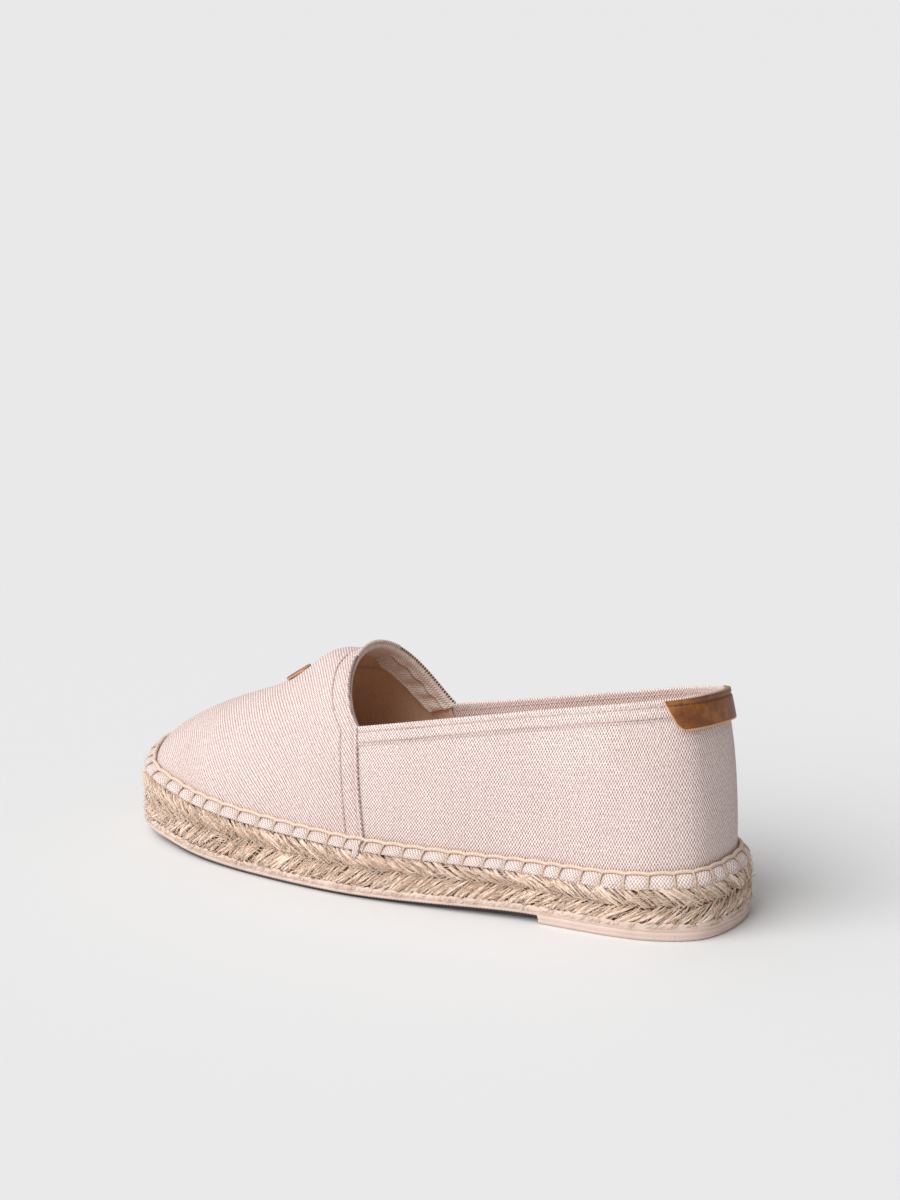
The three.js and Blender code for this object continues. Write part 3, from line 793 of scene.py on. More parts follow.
def sewn(q_line, k_line, rise, pitch=2.2, dash=1.6, side=1.0):
    """Short paths along a line on the last, each humped over the cloth on the side asked for."""
    rise = np.broadcast_to(rise, q_line.shape)
    steps = walk(last(q_line, k_line) + outward(q_line, k_line) * rise[:, None])
    centres = np.arange(pitch, steps[-1] - pitch, pitch)
    across = np.linspace(-1, 1, 5)
    spots = centres[:, None] + dash / 2 * across[None]
    q_spot, k_spot, rise_spot = (np.interp(spots, steps, line) for line in (q_line, k_line, rise))
    hump = SINK * (np.cos(across * np.pi / 2) - 1)
    normals = outward(q_spot, k_spot)
    return last(q_spot, k_spot) + normals * (rise_spot + side * hump)[..., None], normals


sewn_lines = []
collar_line = np.unwrap(quarter_q, period=6.0)
for below in COLLAR_ROWS:
    row_k, _ = arch_lengths(quarter_q, quarter_top, lambda total: (total - below)[None])
    sewn_lines.append(sewn(collar_line, row_k[0], HEM_STEP - 0.06))
    sewn_lines.append(sewn(collar_line, row_k[0], HEM_STEP - 2 * FOLD_RADIUS - 0.02, side=-1.0))
k_sewn = np.linspace(0.0, 0.97, 260)
vamp_row_rise = VAMP_LAP + 0.22 + by_throat(k_sewn, VAMP_ROW)
for outer, away in ((True, VAMP_ROW), (False, -VAMP_ROW)):
    q_row = q_of(length_of(edge_q(k_sewn, outer)) + away)
    sewn_lines.append(sewn(q_row, k_sewn, vamp_row_rise))
sewn_paths, sewn_ups = (np.concatenate(part) for part in zip(*sewn_lines))
rows_sewn = piece(strands("sewn_rows", sewn_paths, SEW_RADIUS, sewn_ups, sides=5), sewing_thread)
print(len(sewn_paths), "stitches,", len(rows_sewn.data.polygons), "faces")

# %% [markdown]
# ## The lining and the sock
# Inside, a thin buff lining covers the walls, and a padded sock covers the jute. Both are seen
# only through the mouth of the shoe, in shade.

# %% Lining
LINING_TOP, LINING_SEAM = 6.0, 17.0
buff = cotton("cotton_lining_twill", "F1D3BC", "D6B196", warp=0.6, weft=0.6, relief=0.06, flecks=0.0,
              soil="E0C4AE")
up_lining = np.linspace(0, 1, 30)[:, None]
lining_k, lining_total = arch_lengths(
    quarter_q, quarter_top, lambda total: up_lining * (total - LINING_TOP)[None], -WALL)
lining_points = last(quarter_q[None], lining_k, -WALL)
lining_weave = np.stack(np.broadcast_arrays(quarter_length[None], up_lining * lining_total[None]), -1)
lining = piece(sheet("lining_quarters", lining_points, lining_weave, flip=True), buff)
q_in, k_in, _ = vamp_grid(60, 80, offset=-WALL, start=1.0)
vamp_inside = last(q_in, k_in, -WALL)
lining_seam = 0.5 * dip(vamp_inside[..., 2], throat_z - LINING_SEAM, 0.4)
vamp_lining = piece(sheet("lining_vamp", vamp_inside, pole_weave(q_in, k_in), weld=0.05,
                          shade=lining_seam), buff)
print("lining", len(lining.data.polygons) + len(vamp_lining.data.polygons), "faces")

# %% Sock
def close_in(row, places, shares, height_of):
    """Rows that shrink from a ring towards the middle line, as high as each x asks for."""
    rows = []
    for share in shares:
        xy = mix(row[:, :2], ridge_line(places), share)
        rows.append(np.column_stack([xy, height_of(xy[:, 0])]))
    return rows


SOCK_EDGE = -FEATHER - WALL - GAP - 0.5
sock_q = np.linspace(0, 6, 361)
sock_rows = [(-0.6, 0.0), (0.0, 0.7), (0.0, INSOLE - 0.9), (-0.35, INSOLE - 0.3), (-1.2, INSOLE)]
ring_rows = []
for out, up in sock_rows:
    x, y = ring(SOCK_EDGE + out, sock_q)
    ring_rows.append(np.stack([x, y, sole_top(x) + GAP + up], -1))
ring_rows += close_in(ring_rows[-1], sock_q, np.linspace(0.06, 1, 22),
                      lambda x: sole_top(x) + GAP + INSOLE)
sock = piece(sheet("sock", np.stack(ring_rows)[::-1], weld=0.05), buff, "insole")
print("sock", len(sock.data.polygons), "faces")

# %% [markdown]
# ## The margin, the cord and the blanket stitch
# The foot of the canvas is turned out over the jute's shoulder. A cord lies along the foot of the
# wall, and a waxed thread is brought over the margin and down into the jute at each stitch, so
# the canvas swells between the stitches and the cord is pulled down at each one.

# %% Stitch places
STITCH_PITCH = 7.8
# the outer side's stitches, as far apart as on the real shoe, from the heel to the toe
FIRST_STITCH = 4.3
stitch_steps = [6.8, 6.4, 6.7, 8.4, 8.5, 8.0, 7.8, 8.4, 6.8, 8.2, 7.4, 7.7, 7.9, 6.4, 9.2, 8.0, 7.9, 7.5, 8.0,
                7.0, 8.8, 7.1, 8.3, 7.5, 9.8, 8.8, 8.0, 7.1, 6.8]
seen = FIRST_STITCH + np.concatenate([[0.0], np.cumsum(stitch_steps)])
hidden_count = int(round((GIRTH + seen[0] - seen[-1]) / STITCH_PITCH))
hidden = np.linspace(seen[-1], GIRTH + seen[0], hidden_count + 1)[1:-1]
stitch_at = np.concatenate([seen, hidden + rng.uniform(-0.8, 0.8, len(hidden))])
stitch_count = len(stitch_at)


def stitch_phase(length):
    """0 at one stitch and 1 at the next."""
    ends = np.concatenate([stitch_at, [stitch_at[0] + GIRTH]])
    length = np.mod(length - stitch_at[0], GIRTH) + stitch_at[0]
    i = np.clip(np.searchsorted(ends, length, side="right") - 1, 0, stitch_count - 1)
    return (length - ends[i]) / (ends[i + 1] - ends[i])


print(stitch_count, "stitches")

# %% Margin
margin_profile = np.array([
    (-5.1, 0.9), (-4.6, 1.55), (-3.9, 1.75), (-3.0, 1.65), (-2.1, 1.25), (-1.3, 0.65), (-0.65, -0.1),
    (-0.15, -0.95), (0.15, -1.8), (0.25, -2.5), (0.05, -2.95), (-0.5, -3.0), (-1.0, -2.7),
])
margin_swell = np.array([0, 0.1, 0.35, 0.7, 1, 1, 1, 1, 0.9, 0.7, 0.4, 0.1, 0])
MARGIN_BULGE = 0.6
SHOULDER = 1.2
margin_length = np.linspace(0, GIRTH, 1101)
margin_q = q_of(margin_length)
between = np.abs(np.sin(np.pi * stitch_phase(margin_length)))
swell = between ** 0.5 - 0.75


def covered(x):
    """1 along the middle and the toe, where the jute climbs over the margin's foot."""
    return smooth((along_of(x) - 0.12) / 0.2)


margin_rings = []
for (out, up), bulge in zip(margin_profile, margin_swell):
    grow = swell * MARGIN_BULGE * bulge
    x, y, x0, _ = beyond(margin_q, out, grow)
    up = up + 0.42 * max(SHOULDER - up, 0.0) * covered(x0)
    margin_rings.append(np.stack([x, y, sole_top(x0) + up + grow * 0.6], -1))
margin_points = np.stack(margin_rings)
down_margin = walk(margin_profile)
margin_weave = np.stack(np.broadcast_arrays(margin_length[None], down_margin[:, None]), -1)
margin_shade = 0.65 * (1 - between ** 0.3)[None]
margin = piece(sheet("canvas_margin", margin_points, margin_weave, weld=0.01, shade=margin_shade),
               duck_margin)
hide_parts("upper")

# %% [markdown]
# The turned hem of the vamp is caught under the margin, and its cut end hangs a few millimetres
# over the jute beside each side seam.

# %% Hem ends at the side seams
TAIL_WIDTH, TAIL_THICK, TAIL_STEP = 3.4, 0.5, 0.9
tail_profile = np.array([
    (-3.0, 1.9), (-2.3, 1.6), (-1.6, 1.05), (-0.9, 0.35), (-0.3, -0.55), (0.05, -1.5), (0.25, -2.4),
    (0.3, -3.2), (0.2, -3.9),
])
tail_across = np.linspace(-1, 1, 15)
tail_bow = 0.55 + 0.55 * np.sqrt(np.clip(1 - tail_across ** 2, 0, 1))
tail_shade = 0.75 * np.abs(tail_across)[None] ** 6 + 0.3 * dip(tail_across, 0.1, 0.12)[None]
tail_down = np.arange(len(tail_profile)) * TAIL_STEP
tail_weave = np.stack(np.broadcast_arrays(tail_across[None] * TAIL_WIDTH / 2, tail_down[:, None]), -1)
for side, outer, ahead in (("outer", True, 1.2), ("inner", False, -1.2)):
    seam_at = float(length_of(edge_q(np.array([0.0]), outer)[0])) + ahead
    tail_rows = []
    for step, (out, up) in enumerate(tail_profile):
        wander = 0.25 * np.sin(step * 0.9)
        at = seam_at + wander + tail_across * TAIL_WIDTH / 2 * (1 - 0.03 * step)
        x, y, x0, _ = beyond(q_of(at), out, tail_bow)
        ragged = 0.35 * np.sin(tail_across * 9 + 1) * (step == len(tail_profile) - 1)
        tail_rows.append(np.stack([x, y, sole_top(x0) + up + 0.4 * tail_bow + ragged], -1))
    tail = piece(sheet("canvas_hem_end_" + side, np.stack(tail_rows), tail_weave, shade=tail_shade),
                 duck_margin)
    tail_wall = tail.modifiers.new("thickness", "SOLIDIFY")
    tail_wall.thickness = TAIL_THICK * MM
    tail_wall.offset = -1
print("hem ends", TAIL_WIDTH, "mm wide")
print("margin", len(margin.data.polygons), "faces")

# %% [markdown]
# ## Finish: waxed linen thread
# Plied linen drawn through wax is a warm cream with a slight gloss and fine slanting plies.

# %% Waxed thread
def waxed(name, pale, deep):
    material, t = blank(name)
    uv = add(t, "ShaderNodeUVMap", {"uv_map": "weave"})
    plies = add(t, "ShaderNodeTexWave", {"Scale": 0.75, "Distortion": 0.6, "bands_direction": "DIAGONAL"},
                {"Vector": uv})
    fuzz = add(t, "ShaderNodeTexNoise", {"Scale": 1.4, "Detail": 3.0}, {"Vector": uv})
    tone = add(t, "ShaderNodeMath", {"operation": "MULTIPLY_ADD", 1: 0.45}, {0: plies, 2: fuzz})
    share = add(t, "ShaderNodeMapRange", {1: 0.35, 2: 1.05}, {0: tone})
    colour = add(t, "ShaderNodeMix", {"data_type": "RGBA", 6: hue(deep), 7: hue(pale)}, {0: share})
    bump = add(t, "ShaderNodeBump", {"Strength": 0.8, "Distance": 0.12 * MM}, {"Height": tone})
    thread = add(t, "ShaderNodeBsdfPrincipled",
                 {"Roughness": 0.62, "Coat Weight": 0.08, "Coat Roughness": 0.4},
                 {"Base Color": colour.outputs[2], "Normal": bump})
    add(t, "ShaderNodeOutputMaterial", None, {"Surface": thread})
    return material


linen = waxed("waxed_linen_thread", "EFDBC8", "BFA089")
# painted shade: the bars are the same waxed thread painted darker, where they sink into the canvas
linen_bars_shaded = waxed("waxed_linen_bars_shaded", "DCC3AE", "AE8F79")
print("waxed linen is ready")

# %% Seam cord
CORD_RADIUS, CORD_OUT, CORD_UP = 0.74, -3.3, 2.05
cord_length = np.linspace(0, GIRTH, 1401)[:-1]
lift = np.abs(np.sin(np.pi * stitch_phase(cord_length))) ** 0.7
x, y, x0, _ = beyond(q_of(cord_length), CORD_OUT, 0.35 * (1 - lift))
cord_path = np.stack([x, y, sole_top(x0) + CORD_UP + 0.45 * lift], -1)
cord_up = np.tile((0.0, 0.0, 1.0), (len(cord_path), 1))
cord = piece(strands("seam_cord_waxed", cord_path[None], CORD_RADIUS, cord_up[None], sides=8,
                     closed=True), linen, "seam_cord")
print("cord", round(float(walk(np.vstack([cord_path, cord_path[:1]]))[-1])), "mm round")

# %% Blanket stitches
BAR_RADIUS, BAR_LOW = 0.40, -2.4
bar_profile = np.array([
    (-4.0, 1.6), (-3.55, 2.45), (-2.9, 2.45), (-2.25, 1.85), (-1.55, 1.15), (-0.9, 0.35), (-0.35, -0.55),
    (-0.05, -1.45), (0.05, -2.4), (-0.1, -3.2), (-0.9, -4.0), (-2.2, -4.4),
])
bar_way = beyond(q_of(stitch_at), 0.0, 0.0)[3] + (0.0, 0.0, 0.7)
bar_cover = covered(np.interp(stitch_at, margin_length, margin_points[0][:, 0]))
lean = rng.uniform(-0.9, 0.9, stitch_count)
bar_paths = []
for step, (out, up) in enumerate(bar_profile):
    if up < SHOULDER:
        up = up + 0.36 * (SHOULDER - max(up, BAR_LOW)) * bar_cover
    share = step / (len(bar_profile) - 1)
    x, y = ring(out, q_of(stitch_at + lean * share))
    bar_paths.append(np.stack([x, y, sole_top(x) + up], -1))
bar_ups = np.stack([bar_way] * len(bar_profile), 1)
bars = piece(strands("blanket_stitches", np.stack(bar_paths, 1), BAR_RADIUS, bar_ups, sides=7,
                     flat=0.6), linen_bars_shaded)
print("bars", len(bars.data.polygons), "faces")

# %% [markdown]
# ## The plaited jute sole
# Three-ply jute braid is wound flat and stitched through, and its edge shows as two rows of yarns
# that meet in arrowheads pointing back to the heel on this side. Under them sits a plain core of
# the same jute, painted darker as painted shade for the gaps between the yarns, so no light comes
# through. The yarns are real strands here, a dozen thin ones to each arrowhead limb, because a
# bump alone would leave the outline smooth; loose fibres go over them.

# %% Raw jute
def jute(name, pale, middle, deep, gloss=0.72):
    # raw jute is a matt straw, streaked along its fibres, and each yarn has a tint of its own
    material, t = blank(name)
    uv = add(t, "ShaderNodeUVMap", {"uv_map": "weave"})
    tint = add(t, "ShaderNodeAttribute", {"attribute_name": "tint"})
    place = add(t, "ShaderNodeTexCoord")
    stretch = add(t, "ShaderNodeMapping", {"Scale": (0.35, 3.2, 1.0)}, {"Vector": uv})
    fibres = add(t, "ShaderNodeTexNoise", {"Scale": 1.3, "Detail": 4.0, "Roughness": 0.65, "Distortion": 0.5},
                 {"Vector": stretch})
    clumps = add(t, "ShaderNodeTexNoise", {"Scale": 210.0, "Detail": 3.0},
                 {"Vector": place.outputs["Object"]})
    tone = add(t, "ShaderNodeMath", {"operation": "MULTIPLY_ADD", 1: 0.35},
               {0: tint.outputs["Fac"], 2: fibres})
    tone = add(t, "ShaderNodeMath", {"operation": "MULTIPLY_ADD", 1: 0.45}, {0: clumps, 2: tone})
    share = add(t, "ShaderNodeMapRange", {1: 0.52, 2: 1.0}, {0: tone})
    low = add(t, "ShaderNodeMix", {"data_type": "RGBA", 6: hue(deep), 7: hue(middle)}, {0: share})
    high = add(t, "ShaderNodeMapRange", {1: 0.84, 2: 1.2}, {0: tone})
    colour = add(t, "ShaderNodeMix", {"data_type": "RGBA", 7: hue(pale)}, {0: high, 6: low.outputs[2]})
    bump = add(t, "ShaderNodeBump", {"Strength": 1.0, "Distance": 0.35 * MM}, {"Height": fibres})
    straw = add(t, "ShaderNodeBsdfPrincipled", {"Roughness": gloss, "Specular IOR Level": 0.3},
                {"Base Color": colour.outputs[2], "Normal": bump})
    add(t, "ShaderNodeOutputMaterial", None, {"Surface": straw})
    return material


yarn_finish = jute("jute_yarn_raw", "FFEEDF", "F5DCC8", "D2AE94")
# painted shade: the core is the same jute painted darker, for the shade behind and between the yarns
core_finish = jute("jute_core_shaded", "D9B99D", "B8937A", "8A6850")
hair_finish = jute("jute_fibre_loose", "FFF1E2", "F7DFCA", "DDB99B", gloss=0.6)
print("three shades of jute are ready")

# %% Jute core
JUTE_PROFILE = np.array([
    (0.0, -3.6), (0.04, -2.6), (0.15, -1.9), (0.24, -1.3), (0.34, -1.4), (0.43, -2.2), (0.53, -1.3),
    (0.68, -1.1), (0.79, -1.5), (0.87, -2.2), (0.94, -3.2), (0.985, -4.4), (1.0, -7.0),
])
core_q = q_of(np.linspace(0, GIRTH, 361))
CORE_SHARES = (0.4, 0.8, 1.0)


def on_jute(x, level):
    """Height of a level on the jute's side, 0 where the rubber starts and 1 at the top."""
    return jute_bottom(x) + level * jute_height(x)


core_rows = []
for level, out in JUTE_PROFILE:
    x, y = ring(out, core_q)
    core_rows.append(np.stack([x, y, on_jute(x, level)], -1))
core_floor = close_in(core_rows[0], core_q, CORE_SHARES, lambda x: on_jute(x, 0.0))
core_roof = close_in(core_rows[-1], core_q, CORE_SHARES, lambda x: on_jute(x, 1.0))
core_points = np.stack(core_floor[::-1] + core_rows + core_roof)
core = piece(sheet("jute_core", core_points, weld=0.05, flip=True), core_finish, "jute_sole")
print("core", len(core.data.polygons), "faces")

# %% Plaited yarns
PLAIT_PITCH = 8.9
PLAIT_RUN = 9.6
PLIES = 12
YARN_RADIUS = 0.47
YARN_POINTS = 10
plaits = int(round(GIRTH / PLAIT_PITCH))
plait_starts = (np.arange(plaits) + rng.uniform(-0.12, 0.12, plaits)) * GIRTH / plaits
t_yarn = np.linspace(0, 1, YARN_POINTS)
paths, radii, tints, ups = [], [], [], []
crown = np.sin(np.pi * t_yarn) ** 0.6
for upper_row in (False, True):
    first_ply = 0.0 if upper_row else PLAIT_PITCH * 0.45
    limb_end = 0.96 if upper_row else 0.08
    for start in plait_starts:
        limb_tone, limb_out = rng.uniform(0.25, 0.75), rng.uniform(-0.2, 0.2)
        for ply in range(PLIES):
            spread = (ply + 0.5) / PLIES
            begin = start + first_ply + spread * PLAIT_PITCH + rng.uniform(-0.7, 0.7)
            q_yarn = q_of(begin + PLAIT_RUN * rng.uniform(0.7, 1.35) * t_yarn)
            # from the line where the two rows meet, up or down to the edge of the plait
            meeting = 0.47 + 0.10 * covered(ring(0.0, q_yarn)[0])
            level = mix(meeting, limb_end, t_yarn ** rng.uniform(0.65, 1.25)) + rng.uniform(-0.05, 0.04)
            out = -1.35 + 1.05 * crown + 0.45 * math.sin(math.pi * spread)
            out = out + limb_out + rng.uniform(-0.35, 0.35)
            # the ends tuck in under the margin and behind the rubber
            out = out - (smooth((level - 0.8) / 0.2) if upper_row else 0.6 * smooth((0.2 - level) / 0.15))
            out = out + 0.18 * np.sin(t_yarn * 9 + rng.uniform(0, 6)) + rng.normal(0, 0.07, YARN_POINTS)
            x, y, _, way = beyond(q_yarn, 0.0, out)
            paths.append(np.stack([x, y, on_jute(x, level)], -1))
            ups.append(way)
            thick = YARN_RADIUS * rng.uniform(0.7, 1.15) * (0.6 + 0.4 * crown)
            radii.append(thick * rng.uniform(0.85, 1.15, YARN_POINTS))
            tints.append(np.clip(limb_tone + rng.uniform(-0.25, 0.25), 0, 1))
yarns = piece(strands("jute_plait", np.array(paths), np.array(radii), np.array(ups), sides=5,
                      tints=np.array(tints)), yarn_finish)
print(len(paths), "yarns,", len(yarns.data.polygons), "faces")

# %% [markdown]
# Loose fibres cross the yarns, stick in the rubber and lift off the edge. Each is a very thin
# three-sided strand of a few faces.

# %% Loose fibres
FIBRES, FIBRE_POINTS = 7200, 5
FELT_SHARE, FELT_REACH = 0.25, 55
# a share of the fibres gathers at the toe, where the jute is felted
t_hair = np.linspace(0, 1, FIBRE_POINTS)[None]
hair_at = rng.uniform(0, GIRTH, FIBRES)
felted = rng.uniform(0, 1, FIBRES) < FELT_SHARE
hair_at = np.where(felted, GIRTH / 2 + rng.normal(0, FELT_REACH, FIBRES), hair_at)[:, None]
hair_level = rng.uniform(0.08, 0.92, FIBRES)[:, None]
slope = np.where(hair_level > 0.46, 1.0, -1.0) * rng.normal(0.7, 1.1, FIBRES)[:, None]
hair_long = rng.uniform(2.0, 7.0, FIBRES)[:, None]
heading = np.arctan(slope)
hair_bend = rng.normal(0, 0.5, FIBRES)[:, None]
aside = hair_bend * 0.3 * t_hair ** 2
hair_s = hair_at + hair_long * (t_hair * np.cos(heading) - aside * np.sin(heading))
hair_h = hair_level + hair_long * (t_hair * np.sin(heading) + aside * np.cos(heading)) / JUTE
hair_h = np.clip(hair_h, 0.05, 0.95)
hair_off = rng.uniform(-0.1, 0.35, FIBRES)[:, None] + rng.exponential(0.5, FIBRES)[:, None] * t_hair ** 2
hair_out = 0.4 - 2.6 * np.abs(hair_h - 0.5) ** 2 - 0.6 * smooth((hair_h - 0.8) / 0.2) + hair_off
hair_out = hair_out + 0.7 * smooth((0.16 - hair_h) / 0.08)
x, y, _, hair_ups = beyond(q_of(hair_s), 0.0, hair_out)
hair_paths = np.stack([x, y, on_jute(x, hair_h)], -1)
hair_radii = rng.uniform(0.08, 0.17, FIBRES)[:, None] * (1 - 0.6 * t_hair ** 2)
hairs = piece(strands("jute_fibres", hair_paths, hair_radii, hair_ups, sides=3,
                      tints=rng.uniform(0, 1, FIBRES)), hair_finish)
print(FIBRES, "fibres,", len(hairs.data.polygons), "faces")

# %% [markdown]
# ## The rubber outsole
# The rubber is a shallow cup moulded on to the jute: smooth sides with one fine groove, and fine
# teeth along the bottom edge ahead of the heel. Its underside is left plain, and where the sole is
# raised it and the lowest rows of the side are painted dark as painted shadow. A profile swept
# round the outline makes it, because a bevelled box could not follow the groove and the teeth.

# %% Moulded rubber
def rubber(name, pale, deep):
    # moulded rubber has a faint skin: half matt, with a fine grit and cloudy patches
    material, t = blank(name)
    place = add(t, "ShaderNodeTexCoord")
    cloud = add(t, "ShaderNodeTexNoise", {"Scale": 60.0, "Detail": 4.0}, {"Vector": place.outputs["Object"]})
    grit = add(t, "ShaderNodeTexNoise", {"Scale": 1800.0, "Detail": 2.0}, {"Vector": place.outputs["Object"]})
    share = add(t, "ShaderNodeMapRange", {1: 0.3, 2: 0.7}, {0: cloud})
    colour = add(t, "ShaderNodeMix", {"data_type": "RGBA", 6: hue(deep), 7: hue(pale)}, {0: share})
    gloss = add(t, "ShaderNodeMapRange", {1: 0.3, 2: 0.7, 3: 0.5, 4: 0.66}, {0: cloud})
    bump = add(t, "ShaderNodeBump", {"Strength": 0.35, "Distance": 0.05 * MM}, {"Height": grit})
    # painted shadow in the undercut below the teeth and under the raised sole
    under = add(t, "ShaderNodeAttribute", {"attribute_name": "shade"})
    colour = add(t, "ShaderNodeMix", {"data_type": "RGBA", 7: hue("3A302C")},
                 {0: under.outputs["Fac"], 6: colour.outputs[2]})
    moulded = add(t, "ShaderNodeBsdfPrincipled", {"IOR": 1.5, "Specular IOR Level": 0.4},
                  {"Base Color": colour.outputs[2], "Roughness": gloss, "Normal": bump})
    add(t, "ShaderNodeOutputMaterial", None, {"Surface": moulded})
    return material


crepe = rubber("rubber_moulded_cream", "E2CCC0", "D5BEB1")
print("moulded rubber is ready")

# %% Outsole
TEETH_PITCH, TEETH_DEEP, TEETH_TALL = 1.35, 0.3, 0.7
RUBBER_STATIONS = 1700
RIM_LIFT = 0.35
rubber_length = np.linspace(0, GIRTH, RUBBER_STATIONS + 1)
rubber_q = q_of(rubber_length)
# share of the height, out at the heel, out where the sole is raised, and how much the teeth cut in
rim_profile = [
    (0.0, -1.3, -1.9, 0), (0.0, -0.7, -1.65, 0), (0.05, -0.2, -1.45, 0), (0.12, 0.1, -1.3, 0),
    (0.24, 0.36, -1.15, 0), (0.265, 0.4, 0.15, 1), (0.3, 0.45, 0.4, 0.6), (0.35, 0.5, 0.5, 0),
    (0.42, 0.55, 0.55, 0), (0.49, 0.6, 0.6, 0), (0.525, 0.5, 0.5, 0), (0.55, 0.3, 0.3, 0),
    (0.575, 0.5, 0.5, 0), (0.61, 0.62, 0.62, 0), (0.76, 0.68, 0.68, 0), (0.9, 0.68, 0.68, 0),
    (0.97, 0.6, 0.6, 0), (1.0, 0.35, 0.35, 0), (1.0, 0.0, 0.0, 0), (0.95, -0.35, -0.35, 0),
    (0.75, -0.5, -0.5, 0), (0.5, -0.9, -0.9, 0),
]
rubber_along = along_of(ring(0.0, rubber_q)[0])
raised = smooth((rubber_along - HEEL_BREAST) / 0.003) * mix(1.0, 0.4, smooth((rubber_along - 0.5) / 0.14))
raised = raised * (1 - smooth((rubber_along - 0.86) / 0.12))
teeth = 0.5 - 0.5 * np.cos(2 * np.pi * rubber_length / TEETH_PITCH)
# the top edge is a little uneven where the rubber crept up the jute
lip = 0.35 * np.sin(rubber_length * 0.9) * np.sin(rubber_length * 0.37 + 1)
lip = lip + 0.2 * np.sin(rubber_length * 2.3)


def rubber_foot(x):
    """The underside: on the floor under the heel, and raised ahead of the heel's breast."""
    return np.where(along_of(x) < HEEL_BREAST, 0.0, base_plane(x))


rubber_rows = []
for share, out_heel, out_raised, tooth in rim_profile:
    cut = tooth * (1 - teeth)
    reach = mix(out_heel, out_raised, raised) - TEETH_DEEP * cut
    x, y, x0, _ = beyond(rubber_q, 0.0, reach)
    top = base_plane(x0) + RIM + RIM_LIFT + lip * smooth((share - 0.6) / 0.4)
    height = mix(rubber_foot(x0), top, share) + TEETH_TALL * cut * raised
    rubber_rows.append(np.stack([x, y, height], -1))
inner_top = close_in(rubber_rows[-1], rubber_q, (0.0, 0.35, 0.7, 1.0), lambda x: base_plane(x) + TREAD)
foot = close_in(rubber_rows[0], rubber_q, (0.02, 0.05, 0.35, 0.7, 1.0), rubber_foot)
rubber_points = np.stack(foot[::-1] + rubber_rows + inner_top)
# the underside and the five lowest rows of the side lie in shadow where the sole is raised
shadowed = (np.arange(len(rubber_points)) < len(foot) + 5) * 0.97
outsole = piece(sheet("rubber_outsole", rubber_points, weld=0.02, flip=True,
                      shade=shadowed[:, None] * smooth(raised * 2.2)[None]), crepe, "outsole")
print("outsole", len(outsole.data.polygons), "faces")

# %% [markdown]
# ## Leather trim
# A strip of vegetable-tanned leather is sewn round the back of the heel, and a small disc of the
# same hide sits on the vamp. Both are left bare. The cut edges are raw and paler than the face.

# %% Tanned leather
def tanned(name, pale, middle, deep):
    # hide tanned with bark is warm and cloudy, with fine pores and a low waxy shine
    material, t = blank(name)
    place = add(t, "ShaderNodeTexCoord")
    pores = add(t, "ShaderNodeTexVoronoi", {"Scale": 1500.0}, {"Vector": place.outputs["Object"]})
    cloud = add(t, "ShaderNodeTexNoise", {"Scale": 140.0, "Detail": 5.0, "Roughness": 0.6},
                {"Vector": place.outputs["Object"]})
    share = add(t, "ShaderNodeMapRange", {1: 0.33, 2: 0.6}, {0: cloud})
    colour = add(t, "ShaderNodeMix", {"data_type": "RGBA", 6: hue(deep), 7: hue(middle)}, {0: share})
    worn = add(t, "ShaderNodeMapRange", {1: 0.55, 2: 0.75}, {0: cloud})
    colour = add(t, "ShaderNodeMix", {"data_type": "RGBA", 7: hue(pale)}, {0: worn, 6: colour.outputs[2]})
    # painted shade darkens the stitched groove and the top edge, and the outline shows a pale cut edge
    for painted, tone in (("shade", "3E2413"), ("raw", "D6A875")):
        mask = add(t, "ShaderNodeAttribute", {"attribute_name": painted})
        colour = add(t, "ShaderNodeMix", {"data_type": "RGBA", 7: hue(tone)},
                     {0: mask.outputs["Fac"], 6: colour.outputs[2]})
    relief = add(t, "ShaderNodeMath", {"operation": "MULTIPLY_ADD", 1: 0.5}, {0: pores, 2: cloud})
    bump = add(t, "ShaderNodeBump", {"Strength": 0.6, "Distance": 0.15 * MM}, {"Height": relief})
    gloss = add(t, "ShaderNodeMapRange", {1: 0.3, 2: 0.7, 3: 0.42, 4: 0.58}, {0: cloud})
    hide = add(t, "ShaderNodeBsdfPrincipled", {"IOR": 1.5, "Specular IOR Level": 0.45},
               {"Base Color": colour.outputs[2], "Roughness": gloss, "Normal": bump})
    add(t, "ShaderNodeOutputMaterial", None, {"Surface": hide})
    return material


hide = tanned("leather_vegetable_tanned", "AC6D34", "8E5425", "613418")
raw_edge = tanned("leather_raw_edge", "E0BF8E", "CFA56E", "AD8150")
print("leather is ready")

# %% Heel tab
TAB_HIGH, TAB_REACH, TAB_THICK = 11.8, 15.0, 1.4
TAB_SLANT, TAB_ROUND = 6.2, 3.6
TAB_TOP, TAB_GROOVE = 0.6, 2.0
TAB_ROWS, TAB_COLUMNS = 48, 150
tab_end_x = heel_end + FEATHER + TAB_REACH
heel_q = np.linspace(0, 1, 400)
heel_x, _ = side_view(last(heel_q, collar_k(heel_q)))
outer_tab = float(length_of(np.interp(tab_end_x, heel_x, heel_q)))
heel_x_in, _ = side_view(last(6 - heel_q, collar_k(6 - heel_q)))
inner_tab = float(GIRTH - length_of(6 - np.interp(tab_end_x, heel_x_in, heel_q)))
fall = np.linspace(0, 1, TAB_ROWS + 1)
low_part = np.clip((fall * TAB_HIGH - (TAB_HIGH - TAB_ROUND)) / TAB_ROUND, 0, 1)
drawn_in = TAB_SLANT * fall + TAB_ROUND * (1 - np.sqrt(1 - low_part ** 2)) * 0.9
tab_length = mix((outer_tab - drawn_in)[:, None], (-inner_tab + drawn_in)[:, None],
                 np.linspace(0, 1, TAB_COLUMNS + 1)[None])
tab_q = q_of(tab_length)
from_top = fall[:, None] * (TAB_HIGH - TAB_TOP)
tab_k = np.zeros_like(tab_q)
